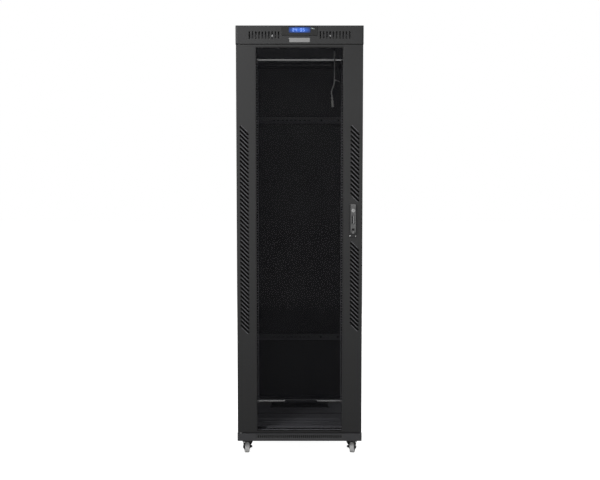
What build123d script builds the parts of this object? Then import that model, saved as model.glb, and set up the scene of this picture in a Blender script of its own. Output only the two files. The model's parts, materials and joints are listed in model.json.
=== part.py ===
from build123d import *
import math
import os

# Forty-two unit network server cabinet on casters.
# Frame: origin on the floor under the middle, +X right seen from the front, front towards -Y, +Z up.

os.makedirs("parts", exist_ok=True)

# ---- driving dimensions, millimetres ----
WIDTH = 600
DEPTH = 800
HEIGHT = 2050
CASTER_HEIGHT = 77
BASE_HEIGHT = 36
HEADER_HEIGHT = 85
SHEET = 2
DOOR_SHEET = 1.5
CORNER_RADIUS = 8

RACK_UNITS = 42
UNIT_HEIGHT = 44.45
RACK_HOLE_SPACING = 465.1
RACK_OPENING = 450

# ---- levels worked out from them ----
HALF_WIDTH = WIDTH / 2
FRONT = -DEPTH / 2
REAR = DEPTH / 2
BASE_TOP = CASTER_HEIGHT + BASE_HEIGHT
ROOF_UNDERSIDE = HEIGHT - SHEET
HEADER_BOTTOM = HEIGHT - HEADER_HEIGHT

# doors
DOOR_GAP = 5
DOOR_HALF_WIDTH = HALF_WIDTH - 2.5
DOOR_DEPTH = 24
DOOR_TOP_GAP = 3
DOOR_BOTTOM = BASE_TOP + DOOR_GAP
DOOR_TOP = HEADER_BOTTOM - DOOR_TOP_GAP
GLASS_HALF_WIDTH = 207
TOP_RAIL = 10
BOTTOM_RAIL = 5
SEAL_LIP = 4
HINGE_X = 284
HINGE_Y = 388
HINGE_PIN_RADIUS = 4
HINGE_BLOCK = 20
RUNNING_CLEARANCE = 0.05

# welded frames behind the doors
FRAME_FRONT = FRONT + 32
FRAME_DEPTH = 40
FRAME_REAR = REAR - 32
POST_OUTER = 292
POST_INNER = 235
FRONT_SILL = BASE_TOP + 15

# inside
CEILING = 1985
RAIL_BOTTOM = BASE_TOP + 3
RAIL_TOP = RAIL_BOTTOM + RACK_UNITS * UNIT_HEIGHT
RAIL_OUTER = 257.5
FRONT_RAIL_FACE = FRONT + 95
REAR_RAIL_FACE = FRONT + 700
BEAM_HEIGHT = 40
BEAM_TOPS = [155, 780, 1400, ROOF_UNDERSIDE]

# slots pressed into the door strips: one row on the hinge side, and one above and one
# below the handle on the other side, each given as its top slot, spacing and count
SLOT_X = 261
SLOT_LENGTH = 58
SLOT_WIDTH = 8
HINGE_SIDE_SLOTS = [(1563, 20, 48)]
LOCK_SIDE_SLOTS = [(1563, 20.7, 16), (1016, 20, 20)]

# swing handle
HANDLE_X = 253
HANDLE_MIDDLE = 1141
HANDLE_LENGTH = 160
HANDLE_WIDTH = 36
PLATE_THICKNESS = 5
SPINDLE_Z = 1086
SPINDLE_RADIUS = 8
LEVER_PIVOT_Y = FRONT - 12
LEVER_WIDTH = 24
LOCK_Z = 1188
LOCK_RADIUS = 9

# casters and levelling feet
CASTER_X = 255
CASTER_Y = 345
WHEEL_RADIUS = 28
WHEEL_WIDTH = 22
TRAIL = 22
AXLE_RADIUS = 4
KINGPIN_RADIUS = 5
FOOT_X = 255
FOOT_Y = 255
STEM_RADIUS = 6
FOOT_PAD_RADIUS = 20
FOOT_PAD_Z = (8, 14)
STEM_BOTTOM = 22
STEM_TOP = 104
CASTER_TRAILS = {
    "front_left": (-1, -1, 100),
    "front_right": (1, -1, 78),
    "rear_left": (-1, 1, -96),
    "rear_right": (1, 1, -82),
}

# fans in the ceiling tray
FAN_X = 80
FAN_Y = -230
FAN_SIZE = 120
FAN_BORE = 57
FAN_BOTTOM = CEILING + SHEET
FAN_SHAFT_RADIUS = 2.5


def block(x_range, y_range, z_range, mode=Mode.ADD):
    """A box between two limits on each axis, in the builder that is open."""
    middle = [(low + high) / 2 for low, high in (x_range, y_range, z_range)]
    length = [high - low for low, high in (x_range, y_range, z_range)]
    with Locations(tuple(middle)):
        Box(*length, mode=mode)


def both_sides(low, high):
    """The same span of X on the right and on the left of the middle."""
    return [(low, high), (-high, -low)]


def rod_y(x, z, radius, y_from, y_to, mode=Mode.ADD):
    """A round bar along Y."""
    with BuildSketch(Plane.XZ.offset(-y_from)) as section:
        with Locations((x, z)):
            Circle(radius)
    extrude(section.sketch, amount=y_from - y_to, mode=mode)


def rod_z(x, y, radius, z_from, z_to, mode=Mode.ADD):
    """A round bar along Z."""
    with BuildSketch(Plane.XY.offset(z_from)) as section:
        with Locations((x, y)):
            Circle(radius)
    extrude(section.sketch, amount=z_to - z_from, mode=mode)


def rod_x(y, z, radius, x_from, x_to, mode=Mode.ADD):
    """A round bar along X."""
    with BuildSketch(Plane.YZ.offset(x_from)) as section:
        with Locations((y, z)):
            Circle(radius)
    extrude(section.sketch, amount=x_to - x_from, mode=mode)


def save(part, name):
    part.label = name
    export_step(part, f"parts/{name}.step")


# ======================= base =======================

GRILLE_HALF_WIDTH = 207
GRILLE_Z = (90, 107)
GRILLE_PLATE = ((-215, 215), (86, 110))
GRILLE_THICKNESS = 1.5
GRILLE_SLOTS = 43
GRILLE_PITCH = 9.5
GRILLE_SLOT_SIZE = (14, 5)
BASE_WINDOW = ((-235, 235), (-320, 320))
SEAT_MIDDLE = (244.5, 311.5)
SEAT_SIZE = (107, 173, 3)
FOOT_NUT_RADIUS = 12
FOOT_NUT_TOP = CASTER_HEIGHT + 17

with BuildPart() as base_frame:
    with BuildSketch(Plane.XY.offset(CASTER_HEIGHT)):
        RectangleRounded(WIDTH, DEPTH, CORNER_RADIUS)
    extrude(amount=BASE_HEIGHT)
    with BuildSketch(Plane.XY.offset(CASTER_HEIGHT)):
        RectangleRounded(WIDTH - 2 * SHEET, DEPTH - 2 * SHEET, CORNER_RADIUS - SHEET)
    extrude(amount=BASE_HEIGHT - SHEET, mode=Mode.SUBTRACT)
    block(*BASE_WINDOW, (CASTER_HEIGHT, BASE_TOP), Mode.SUBTRACT)
    # corner plates that carry the casters, with welded nuts for the levelling feet
    for side_x in (-1, 1):
        for side_y in (-1, 1):
            with Locations((side_x * SEAT_MIDDLE[0], side_y * SEAT_MIDDLE[1],
                            CASTER_HEIGHT + SEAT_SIZE[2] / 2)):
                Box(*SEAT_SIZE)
            rod_z(side_x * FOOT_X, side_y * FOOT_Y, FOOT_NUT_RADIUS,
                  CASTER_HEIGHT + SEAT_SIZE[2], FOOT_NUT_TOP)
            rod_z(side_x * FOOT_X, side_y * FOOT_Y, STEM_RADIUS + RUNNING_CLEARANCE,
                  CASTER_HEIGHT, FOOT_NUT_TOP, Mode.SUBTRACT)
    # window in the front for the air grille
    block((-GRILLE_HALF_WIDTH, GRILLE_HALF_WIDTH), (FRONT, FRONT + SHEET), GRILLE_Z, Mode.SUBTRACT)
save(base_frame.part, "base_frame")

with BuildPart() as base_grille:
    block(GRILLE_PLATE[0], (FRONT + SHEET, FRONT + SHEET + GRILLE_THICKNESS), GRILLE_PLATE[1])
    with BuildSketch(Plane.XZ.offset(-FRONT - SHEET)):
        with Locations((0, sum(GRILLE_Z) / 2)):
            with GridLocations(GRILLE_PITCH, 1, GRILLE_SLOTS, 1):
                SlotOverall(*GRILLE_SLOT_SIZE, rotation=90)
    extrude(amount=-GRILLE_THICKNESS, mode=Mode.SUBTRACT)
save(base_grille.part, "base_grille")

FLOOR_HALF_WIDTH = 250
FLOOR_FRONT_PLATE = (FRAME_FRONT + FRAME_DEPTH + 2, -5)
FLOOR_REAR_PLATE = (7, 305)
FLOOR_ENTRY = (130, 230)
FLOOR_ENTRY_WIDTH = 300
FLOOR_FLANGE = 10
FLOOR_BEAD = ((-190, 200), (-290, -284))

with BuildPart() as floor_plates:
    block((-FLOOR_HALF_WIDTH, FLOOR_HALF_WIDTH), FLOOR_FRONT_PLATE, (BASE_TOP, BASE_TOP + SHEET))
    block((-FLOOR_HALF_WIDTH, FLOOR_HALF_WIDTH), (FLOOR_FRONT_PLATE[0], FLOOR_FRONT_PLATE[0] + SHEET),
          (BASE_TOP, BASE_TOP + FLOOR_FLANGE))
    block(*FLOOR_BEAD, (BASE_TOP + SHEET, BASE_TOP + 6))
    block((-FLOOR_HALF_WIDTH, FLOOR_HALF_WIDTH), FLOOR_REAR_PLATE, (BASE_TOP, BASE_TOP + SHEET))
    block((-FLOOR_HALF_WIDTH, FLOOR_HALF_WIDTH), (FLOOR_REAR_PLATE[1] - SHEET, FLOOR_REAR_PLATE[1]),
          (BASE_TOP, BASE_TOP + FLOOR_FLANGE))
    with BuildSketch(Plane.XY.offset(BASE_TOP)):
        with Locations((0, sum(FLOOR_ENTRY) / 2)):
            RectangleRounded(FLOOR_ENTRY_WIDTH, FLOOR_ENTRY[1] - FLOOR_ENTRY[0], 8)
    extrude(amount=SHEET, mode=Mode.SUBTRACT)
save(floor_plates.part, "floor_plates")

# ======================= welded frames and beams =======================


def cabinet_frame(face, back, sill, lintel, slot_x):
    """A ring of folded channel: its flat sheet lies at face, and it is open towards back."""
    inward = 1 if back > face else -1
    sheet_range = tuple(sorted((face, face + inward * SHEET)))
    pocket_range = tuple(sorted((face + inward * SHEET, back)))
    with BuildPart() as frame:
        block((-POST_OUTER, POST_OUTER), tuple(sorted((face, back))), (BASE_TOP, ROOF_UNDERSIDE))
        block((-POST_INNER, POST_INNER), tuple(sorted((face, back))), (sill, lintel), Mode.SUBTRACT)
        for span in both_sides(POST_INNER + SHEET, POST_OUTER - SHEET):
            block(span, pocket_range, (BASE_TOP + SHEET, ROOF_UNDERSIDE - SHEET), Mode.SUBTRACT)
        beam_span = (-POST_INNER + SHEET, POST_INNER - SHEET)
        block(beam_span, pocket_range, (BASE_TOP + SHEET, sill - SHEET), Mode.SUBTRACT)
        block(beam_span, pocket_range, (lintel + SHEET, ROOF_UNDERSIDE - SHEET), Mode.SUBTRACT)
        # keeper slot for the lock cam
        block((slot_x - 9, slot_x + 9), sheet_range, (SPINDLE_Z - 38, SPINDLE_Z + 14), Mode.SUBTRACT)
    return frame.part


save(cabinet_frame(FRAME_FRONT, FRAME_FRONT + FRAME_DEPTH, FRONT_SILL, HEADER_BOTTOM, HANDLE_X),
     "front_frame")
save(cabinet_frame(FRAME_REAR, FRAME_REAR - FRAME_DEPTH, FRONT_SILL, CEILING, -HANDLE_X), "rear_frame")

with BuildPart() as depth_beams:
    for beam_top in BEAM_TOPS:
        for span in both_sides(RAIL_OUTER, POST_OUTER):
            block(span, (FRAME_FRONT + FRAME_DEPTH, FRAME_REAR - FRAME_DEPTH),
                  (beam_top - BEAM_HEIGHT, beam_top))
        for span in both_sides(RAIL_OUTER + SHEET, POST_OUTER - SHEET):
            block(span, (FRAME_FRONT + FRAME_DEPTH, FRAME_REAR - FRAME_DEPTH),
                  (beam_top - BEAM_HEIGHT, beam_top - SHEET), Mode.SUBTRACT)
save(depth_beams.part, "depth_beams")

BRACE_LEVELS = [469, 1661]
BRACE_HEIGHT = 33
BRACE_HALF_WIDTH = 268
BRACE_DEPTH = 16
BRACE_SLOTS = 9
BRACE_SLOT_PITCH = 24
BRACE_SLOT_MIDDLE = -45
BRACE_HOLES = (118, 212)

with BuildPart() as cross_braces:
    for level in BRACE_LEVELS:
        low, high = level - BRACE_HEIGHT / 2, level + BRACE_HEIGHT / 2
        front_face = FRAME_REAR - FRAME_DEPTH - BRACE_DEPTH
        block((-BRACE_HALF_WIDTH, BRACE_HALF_WIDTH), (front_face, front_face + BRACE_DEPTH), (low, high))
        block((-BRACE_HALF_WIDTH, BRACE_HALF_WIDTH), (front_face + SHEET, front_face + BRACE_DEPTH),
              (low + SHEET, high - SHEET), Mode.SUBTRACT)
        with BuildSketch(Plane.XZ.offset(-front_face)):
            with Locations((BRACE_SLOT_MIDDLE, level)):
                with GridLocations(BRACE_SLOT_PITCH, 1, BRACE_SLOTS, 1):
                    SlotOverall(14, 5)
            with Locations(*[(x, level) for x in BRACE_HOLES]):
                Circle(6)
        extrude(amount=-SHEET, mode=Mode.SUBTRACT)
save(cross_braces.part, "cross_braces")

# ======================= mounting rails =======================

SQUARE_HOLE = 9.5
RAIL_RETURN = 45
HOLES_IN_UNIT = [6.35, 22.225, 38.1]


def mounting_rail(side, face, inward):
    """An L section with three square holes in every rack unit."""
    x_flange = tuple(sorted((side * RACK_OPENING / 2, side * RAIL_OUTER)))
    x_return = tuple(sorted((side * (RAIL_OUTER - SHEET), side * RAIL_OUTER)))
    holes = []
    for unit in range(RACK_UNITS):
        for step in HOLES_IN_UNIT:
            holes.append((side * RACK_HOLE_SPACING / 2, RAIL_BOTTOM + unit * UNIT_HEIGHT + step))
    with BuildPart() as rail:
        block(x_flange, tuple(sorted((face, face + inward * SHEET))), (RAIL_BOTTOM, RAIL_TOP))
        block(x_return, tuple(sorted((face, face + inward * RAIL_RETURN))), (RAIL_BOTTOM, RAIL_TOP))
        with BuildSketch(Plane.XZ.offset(-face)):
            with Locations(*holes):
                Rectangle(SQUARE_HOLE, SQUARE_HOLE)
        extrude(amount=-inward * SHEET, mode=Mode.SUBTRACT)
    return rail.part


for side, side_name in ((-1, "left"), (1, "right")):
    save(mounting_rail(side, FRONT_RAIL_FACE, 1), f"front_rail_{side_name}")
    save(mounting_rail(side, REAR_RAIL_FACE, -1), f"rear_rail_{side_name}")

# cage nuts for one device, clipped into the two front rails
NUT_UNIT = 19
NUT_LEVELS = [RAIL_BOTTOM + NUT_UNIT * UNIT_HEIGHT + step for step in (HOLES_IN_UNIT[0], HOLES_IN_UNIT[2])]
NUT_BORE_RADIUS = 2.5

with BuildPart() as cage_nuts:
    for side in (-1, 1):
        x = side * RACK_HOLE_SPACING / 2
        for level in NUT_LEVELS:
            block((x - 4.65, x + 4.65), (FRONT_RAIL_FACE, FRONT_RAIL_FACE + SHEET),
                  (level - 4.65, level + 4.65))
            block((x - 6.5, x + 6.5), (FRONT_RAIL_FACE + SHEET, FRONT_RAIL_FACE + 8),
                  (level - 6.5, level + 6.5))
            rod_y(x, level, NUT_BORE_RADIUS, FRONT_RAIL_FACE, FRONT_RAIL_FACE + 8, Mode.SUBTRACT)
save(cage_nuts.part, "cage_nuts")

# ======================= roof, ceiling tray and fans =======================

ROOF_ENTRY_Y = 284
ROOF_ENTRY_SIZE = (290, 54)
ROOF_SEAM_Y = (229, 230)
FAN_SLOTS = 9
FAN_SLOT_PITCH = 11
FAN_SLOT_SIZE = (100, 5)

# a front sheet with the fan slots and a rear sheet with the cable entry, meeting at a seam
with BuildPart() as roof_panel:
    with BuildSketch(Plane.XY.offset(ROOF_UNDERSIDE)):
        RectangleRounded(WIDTH, DEPTH, CORNER_RADIUS)
        with Locations((-FAN_X, FAN_Y), (FAN_X, FAN_Y)):
            with GridLocations(1, FAN_SLOT_PITCH, 1, FAN_SLOTS):
                SlotOverall(*FAN_SLOT_SIZE, mode=Mode.SUBTRACT)
        with Locations((0, ROOF_ENTRY_Y)):
            Rectangle(*ROOF_ENTRY_SIZE, mode=Mode.SUBTRACT)
    extrude(amount=SHEET)
    block((-WIDTH, WIDTH), ROOF_SEAM_Y, (ROOF_UNDERSIDE, HEIGHT), Mode.SUBTRACT)
save(roof_panel.part, "roof_panel")

TRAY_HALF_WIDTH = 250
TRAY_Y = (-320, 250)
TRAY_HOLES = ((-171, -148), (171, -148))
LEAD_X = 174
LEAD_Y = -110
GLAND_RADIUS = 6.5

with BuildPart() as ceiling_plate:
    block((-TRAY_HALF_WIDTH, TRAY_HALF_WIDTH), TRAY_Y, (CEILING, ROOF_UNDERSIDE))
    block((-TRAY_HALF_WIDTH + SHEET, TRAY_HALF_WIDTH - SHEET), (TRAY_Y[0] + SHEET, TRAY_Y[1] - SHEET),
          (CEILING + SHEET, ROOF_UNDERSIDE), Mode.SUBTRACT)
    with BuildSketch(Plane.XY.offset(CEILING)):
        with Locations((-FAN_X, FAN_Y), (FAN_X, FAN_Y)):
            Circle(FAN_BORE)
        with Locations(*TRAY_HOLES):
            Circle(6)
        with Locations((LEAD_X, LEAD_Y)):
            Circle(GLAND_RADIUS)
    extrude(amount=SHEET, mode=Mode.SUBTRACT)
save(ceiling_plate.part, "ceiling_plate")

FAN_DEPTH = 38
MOTOR_SEAT_RADIUS = 18
STRUT_THICKNESS = 3
STRUT_HALF_WIDTH = 3
STRUT_REACH = FAN_BORE + 1
SHAFT_TOP = FAN_BOTTOM + 31

with BuildPart() as fan_housings:
    for side in (-1, 1):
        x = side * FAN_X
        block((x - FAN_SIZE / 2, x + FAN_SIZE / 2), (FAN_Y - FAN_SIZE / 2, FAN_Y + FAN_SIZE / 2),
              (FAN_BOTTOM, FAN_BOTTOM + FAN_DEPTH))
        rod_z(x, FAN_Y, FAN_BORE, FAN_BOTTOM, FAN_BOTTOM + FAN_DEPTH, Mode.SUBTRACT)
        # motor seat on four struts, with the rotor's shaft
        strut_z = (FAN_BOTTOM, FAN_BOTTOM + STRUT_THICKNESS)
        rod_z(x, FAN_Y, MOTOR_SEAT_RADIUS, *strut_z)
        block((x - STRUT_HALF_WIDTH, x + STRUT_HALF_WIDTH),
              (FAN_Y - STRUT_REACH, FAN_Y + STRUT_REACH), strut_z)
        block((x - STRUT_REACH, x + STRUT_REACH),
              (FAN_Y - STRUT_HALF_WIDTH, FAN_Y + STRUT_HALF_WIDTH), strut_z)
        rod_z(x, FAN_Y, FAN_SHAFT_RADIUS, strut_z[1], SHAFT_TOP)
save(fan_housings.part, "fan_housings")

GUARD_WIRE = 2.5
GUARD_RINGS = (16, 30, 44, 60)

with BuildPart() as fan_guards:
    for side in (-1, 1):
        x = side * FAN_X
        with BuildSketch(Plane.XY.offset(CEILING - GUARD_WIRE)):
            with Locations((x, FAN_Y)):
                for ring_radius in GUARD_RINGS:
                    Circle(ring_radius + GUARD_WIRE / 2)
                    Circle(ring_radius - GUARD_WIRE / 2, mode=Mode.SUBTRACT)
                Rectangle(FAN_SIZE, GUARD_WIRE)
                Rectangle(GUARD_WIRE, FAN_SIZE)
        extrude(amount=GUARD_WIRE)
save(fan_guards.part, "fan_guards")

ROTOR_HUB = (19, 25)
ROTOR_MIDDLE = 16.5
BLADES = 7
BLADE_MIDDLE = 35
BLADE_SIZE = (34, 24, 2.5)
BLADE_TWIST = 35

for side, side_name in ((-1, "left"), (1, "right")):
    with BuildPart(Plane((side * FAN_X, FAN_Y, FAN_BOTTOM))) as fan_rotor:
        with Locations((0, 0, ROTOR_MIDDLE)):
            Cylinder(*ROTOR_HUB)
            with PolarLocations(BLADE_MIDDLE, BLADES):
                Box(*BLADE_SIZE, rotation=(BLADE_TWIST, 0, 0))
            Cylinder(FAN_SHAFT_RADIUS + RUNNING_CLEARANCE, 40, mode=Mode.SUBTRACT)
    save(fan_rotor.part, f"fan_rotor_{side_name}")

# ======================= headers, display and badge =======================

VENT_FIRST_X = 97.5
VENT_PITCH = 15.2
VENTS_EACH_SIDE = 10
VENT_Z = HEIGHT - 44
VENT_HEIGHT = 34
VENT_WIDTH = 6
DISPLAY_CUTOUT = (156, 38)
DISPLAY_CUTOUT_Z = 2025
HEADER_HOLLOW = (-296, 296)

with BuildPart() as front_header:
    with BuildSketch(Plane.XY.offset(HEADER_BOTTOM)):
        RectangleRounded(WIDTH, DEPTH, CORNER_RADIUS)
        with Locations((0, FRAME_FRONT + DEPTH / 2)):
            Rectangle(WIDTH + 10, DEPTH, mode=Mode.SUBTRACT)
    extrude(amount=ROOF_UNDERSIDE - HEADER_BOTTOM)
    block(HEADER_HOLLOW, (FRONT + SHEET, FRAME_FRONT),
          (HEADER_BOTTOM + SHEET, ROOF_UNDERSIDE - SHEET), Mode.SUBTRACT)
    with BuildSketch(Plane.XZ.offset(-FRONT)):
        for side in (-1, 1):
            for index in range(VENTS_EACH_SIDE):
                with Locations((side * (VENT_FIRST_X + index * VENT_PITCH), VENT_Z)):
                    SlotOverall(VENT_HEIGHT, VENT_WIDTH, rotation=90)
        with Locations((0, DISPLAY_CUTOUT_Z)):
            Rectangle(*DISPLAY_CUTOUT)
    extrude(amount=-SHEET, mode=Mode.SUBTRACT)
save(front_header.part, "front_header")

with BuildPart() as rear_header:
    with BuildSketch(Plane.XY.offset(HEADER_BOTTOM)):
        RectangleRounded(WIDTH, DEPTH, CORNER_RADIUS)
        with Locations((0, FRAME_REAR - DEPTH / 2)):
            Rectangle(WIDTH + 10, DEPTH, mode=Mode.SUBTRACT)
    extrude(amount=ROOF_UNDERSIDE - HEADER_BOTTOM)
    block(HEADER_HOLLOW, (FRAME_REAR, REAR - SHEET),
          (HEADER_BOTTOM + SHEET, ROOF_UNDERSIDE - SHEET), Mode.SUBTRACT)
save(rear_header.part, "rear_header")

BEZEL_SIZE = (169, 44)
BEZEL_Z = 2025.5
SCREEN_HALF_WIDTH = 50.5
SCREEN_Z = (2016, 2043)

with BuildPart() as lcd_bezel:
    with BuildSketch(Plane.XZ.offset(-FRONT)):
        with Locations((0, BEZEL_Z)):
            RectangleRounded(*BEZEL_SIZE, 4)
    extrude(amount=3)
    fillet(lcd_bezel.faces().sort_by(Axis.Y)[0].outer_wire().edges(), 1)
    block((-77, 77), (FRONT, FRONT + 14), (2007, 2043))
    block((-SCREEN_HALF_WIDTH, SCREEN_HALF_WIDTH), (FRONT - 3, FRONT - 1), SCREEN_Z, Mode.SUBTRACT)
save(lcd_bezel.part, "lcd_bezel")

with BuildPart() as lcd_screen:
    block((-SCREEN_HALF_WIDTH, SCREEN_HALF_WIDTH), (FRONT - 2.2, FRONT - 1), SCREEN_Z)
save(lcd_screen.part, "lcd_screen")

with BuildPart() as controller_box:
    block((-70, 70), (FRONT + 14, FRAME_FRONT - 1), (2008, 2042))
save(controller_box.part, "controller_box")

BADGE_SIZE = (96, 20)
BADGE_Z = 1983

with BuildPart() as badge:
    with BuildSketch(Plane.XZ.offset(-FRONT)):
        with Locations((0, BADGE_Z)):
            RectangleRounded(*BADGE_SIZE, 3)
    extrude(amount=1.2)
save(badge.part, "badge")

# ======================= screws and hinge pins =======================

CEILING_SCREWS = [(-71, 93), (65, 140), (109, 93), (-217, 95)]
HEADER_SCREWS = [-(VENT_FIRST_X + 2 * VENT_PITCH), VENT_FIRST_X + 3 * VENT_PITCH]
CASTER_BOLTS = [(30, 24), (30, -24), (-30, 24), (-30, -24)]

with BuildPart() as frame_screws:
    for x, y in CEILING_SCREWS:
        rod_z(x, y, 4.5, CEILING - 3, CEILING)
    for x in HEADER_SCREWS:
        rod_y(x, VENT_Z + 1, 5, FRAME_FRONT - 6, FRAME_FRONT)
    for side_x in (-1, 1):
        for side_y in (-1, 1):
            for offset_x, offset_y in CASTER_BOLTS:
                with BuildSketch(Plane.XY.offset(CASTER_HEIGHT - 7)):
                    with Locations((side_x * CASTER_X + offset_x, side_y * CASTER_Y + offset_y)):
                        RegularPolygon(6, 6)
                extrude(amount=4)
save(frame_screws.part, "frame_screws")

with BuildPart() as hinge_pins:
    for x, y in ((-HINGE_X, -HINGE_Y), (HINGE_X, HINGE_Y)):
        rod_z(x, y, HINGE_PIN_RADIUS, DOOR_TOP - HINGE_BLOCK, HEADER_BOTTOM)
        rod_z(x, y, HINGE_PIN_RADIUS, BASE_TOP, DOOR_BOTTOM + HINGE_BLOCK)
        # collar that carries the door
        rod_z(x, y, 7, BASE_TOP, DOOR_BOTTOM - 0.5)
save(hinge_pins.part, "hinge_pins")

# ======================= front door =======================

with BuildPart() as door_frame:
    block((-DOOR_HALF_WIDTH, DOOR_HALF_WIDTH), (FRONT, FRONT + DOOR_DEPTH), (DOOR_BOTTOM, DOOR_TOP))
    block((-GLASS_HALF_WIDTH, GLASS_HALF_WIDTH), (FRONT, FRONT + DOOR_DEPTH),
          (DOOR_BOTTOM + BOTTOM_RAIL, DOOR_TOP - TOP_RAIL), Mode.SUBTRACT)
    fillet(door_frame.edges().filter_by(Axis.Z).group_by(Axis.Y)[0], 2)
    # the strips are hollow behind; the hinge side keeps solid ends for the pins
    strip = (GLASS_HALF_WIDTH + DOOR_SHEET, DOOR_HALF_WIDTH - DOOR_SHEET)
    hollow_y = (FRONT + DOOR_SHEET, FRONT + DOOR_DEPTH)
    block(strip, hollow_y, (DOOR_BOTTOM + DOOR_SHEET, DOOR_TOP - DOOR_SHEET), Mode.SUBTRACT)
    block((-strip[1], -strip[0]), hollow_y,
          (DOOR_BOTTOM + HINGE_BLOCK, DOOR_TOP - HINGE_BLOCK), Mode.SUBTRACT)
    for low in (DOOR_BOTTOM, DOOR_TOP - HINGE_BLOCK):
        rod_z(-HINGE_X, -HINGE_Y, HINGE_PIN_RADIUS + RUNNING_CLEARANCE, low, low + HINGE_BLOCK,
              Mode.SUBTRACT)
    with BuildSketch(Plane.XZ.offset(-FRONT)):
        for x, rows in ((-SLOT_X, HINGE_SIDE_SLOTS), (SLOT_X, LOCK_SIDE_SLOTS)):
            for top, spacing, count in rows:
                for index in range(count):
                    with Locations((x, top - index * spacing)):
                        SlotOverall(SLOT_LENGTH, SLOT_WIDTH, rotation=-45)
        with Locations((HANDLE_X, SPINDLE_Z)):
            Circle(SPINDLE_RADIUS + 1)
    extrude(amount=-DOOR_SHEET, mode=Mode.SUBTRACT)
save(door_frame.part, "door_frame")

GLASS_Y = (FRONT + 6, FRONT + 11)
GLASS_Z = (DOOR_BOTTOM + BOTTOM_RAIL + 2, DOOR_TOP - TOP_RAIL - 2)

with BuildPart() as door_glass:
    block((-GLASS_HALF_WIDTH + 2, GLASS_HALF_WIDTH - 2), GLASS_Y, GLASS_Z)
save(door_glass.part, "door_glass")

with BuildPart() as glass_seal:
    block((-GLASS_HALF_WIDTH, GLASS_HALF_WIDTH), (GLASS_Y[0] - 2, GLASS_Y[1] + 2),
          (GLASS_Z[0] - 2, GLASS_Z[1] + 2))
    block((-GLASS_HALF_WIDTH + SEAL_LIP, GLASS_HALF_WIDTH - SEAL_LIP), (GLASS_Y[0] - 2, GLASS_Y[1] + 2),
          (GLASS_Z[0] - 2 + SEAL_LIP, GLASS_Z[1] + 2 - SEAL_LIP), Mode.SUBTRACT)
    block((-GLASS_HALF_WIDTH + 2, GLASS_HALF_WIDTH - 2), GLASS_Y, GLASS_Z, Mode.SUBTRACT)
save(glass_seal.part, "glass_seal")

# ======================= swing handle =======================

with BuildPart() as handle_plate:
    with BuildSketch(Plane.XZ.offset(-FRONT)):
        with Locations((HANDLE_X, HANDLE_MIDDLE)):
            RectangleRounded(HANDLE_WIDTH, HANDLE_LENGTH, 7)
    extrude(amount=PLATE_THICKNESS)
    fillet(handle_plate.faces().sort_by(Axis.Y)[0].edges(), 1.5)
    rod_y(HANDLE_X, SPINDLE_Z, SPINDLE_RADIUS + RUNNING_CLEARANCE, FRONT - PLATE_THICKNESS, FRONT,
          Mode.SUBTRACT)
save(handle_plate.part, "handle_plate")

CAM_Y = (FRAME_FRONT + 6, FRAME_FRONT + 9)
PIVOT_PIN_RADIUS = 2.5

with BuildPart() as handle_spindle:
    rod_y(HANDLE_X, SPINDLE_Z, SPINDLE_RADIUS - 1, FRONT - PLATE_THICKNESS, CAM_Y[0])
    rod_y(HANDLE_X, SPINDLE_Z, SPINDLE_RADIUS, FRONT - PLATE_THICKNESS - 0.5, FRONT + 4)
    block((HANDLE_X - 6, HANDLE_X + 6), (LEVER_PIVOT_Y - 6, FRONT - PLATE_THICKNESS - 0.5),
          (SPINDLE_Z - 6, SPINDLE_Z + 6))
    rod_x(LEVER_PIVOT_Y, SPINDLE_Z, PIVOT_PIN_RADIUS, HANDLE_X - 6, HANDLE_X + 6, Mode.SUBTRACT)
save(handle_spindle.part, "handle_spindle")

with BuildPart() as lock_cam:
    block((HANDLE_X - 6, HANDLE_X + 6), CAM_Y, (SPINDLE_Z - 29, SPINDLE_Z + 7))
save(lock_cam.part, "lock_cam")

with BuildPart() as lever_pin:
    rod_x(LEVER_PIVOT_Y, SPINDLE_Z, PIVOT_PIN_RADIUS, HANDLE_X - 11, HANDLE_X + 11)
save(lever_pin.part, "lever_pin")

LEVER_TOP = 1218
LEVER_FRONT = FRONT - 20
LEVER_BACK = FRONT - 6
RECESS_Z = (1122, 1168)
RECESS_WIDTH = 15
RECESS_DEPTH = 4

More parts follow.
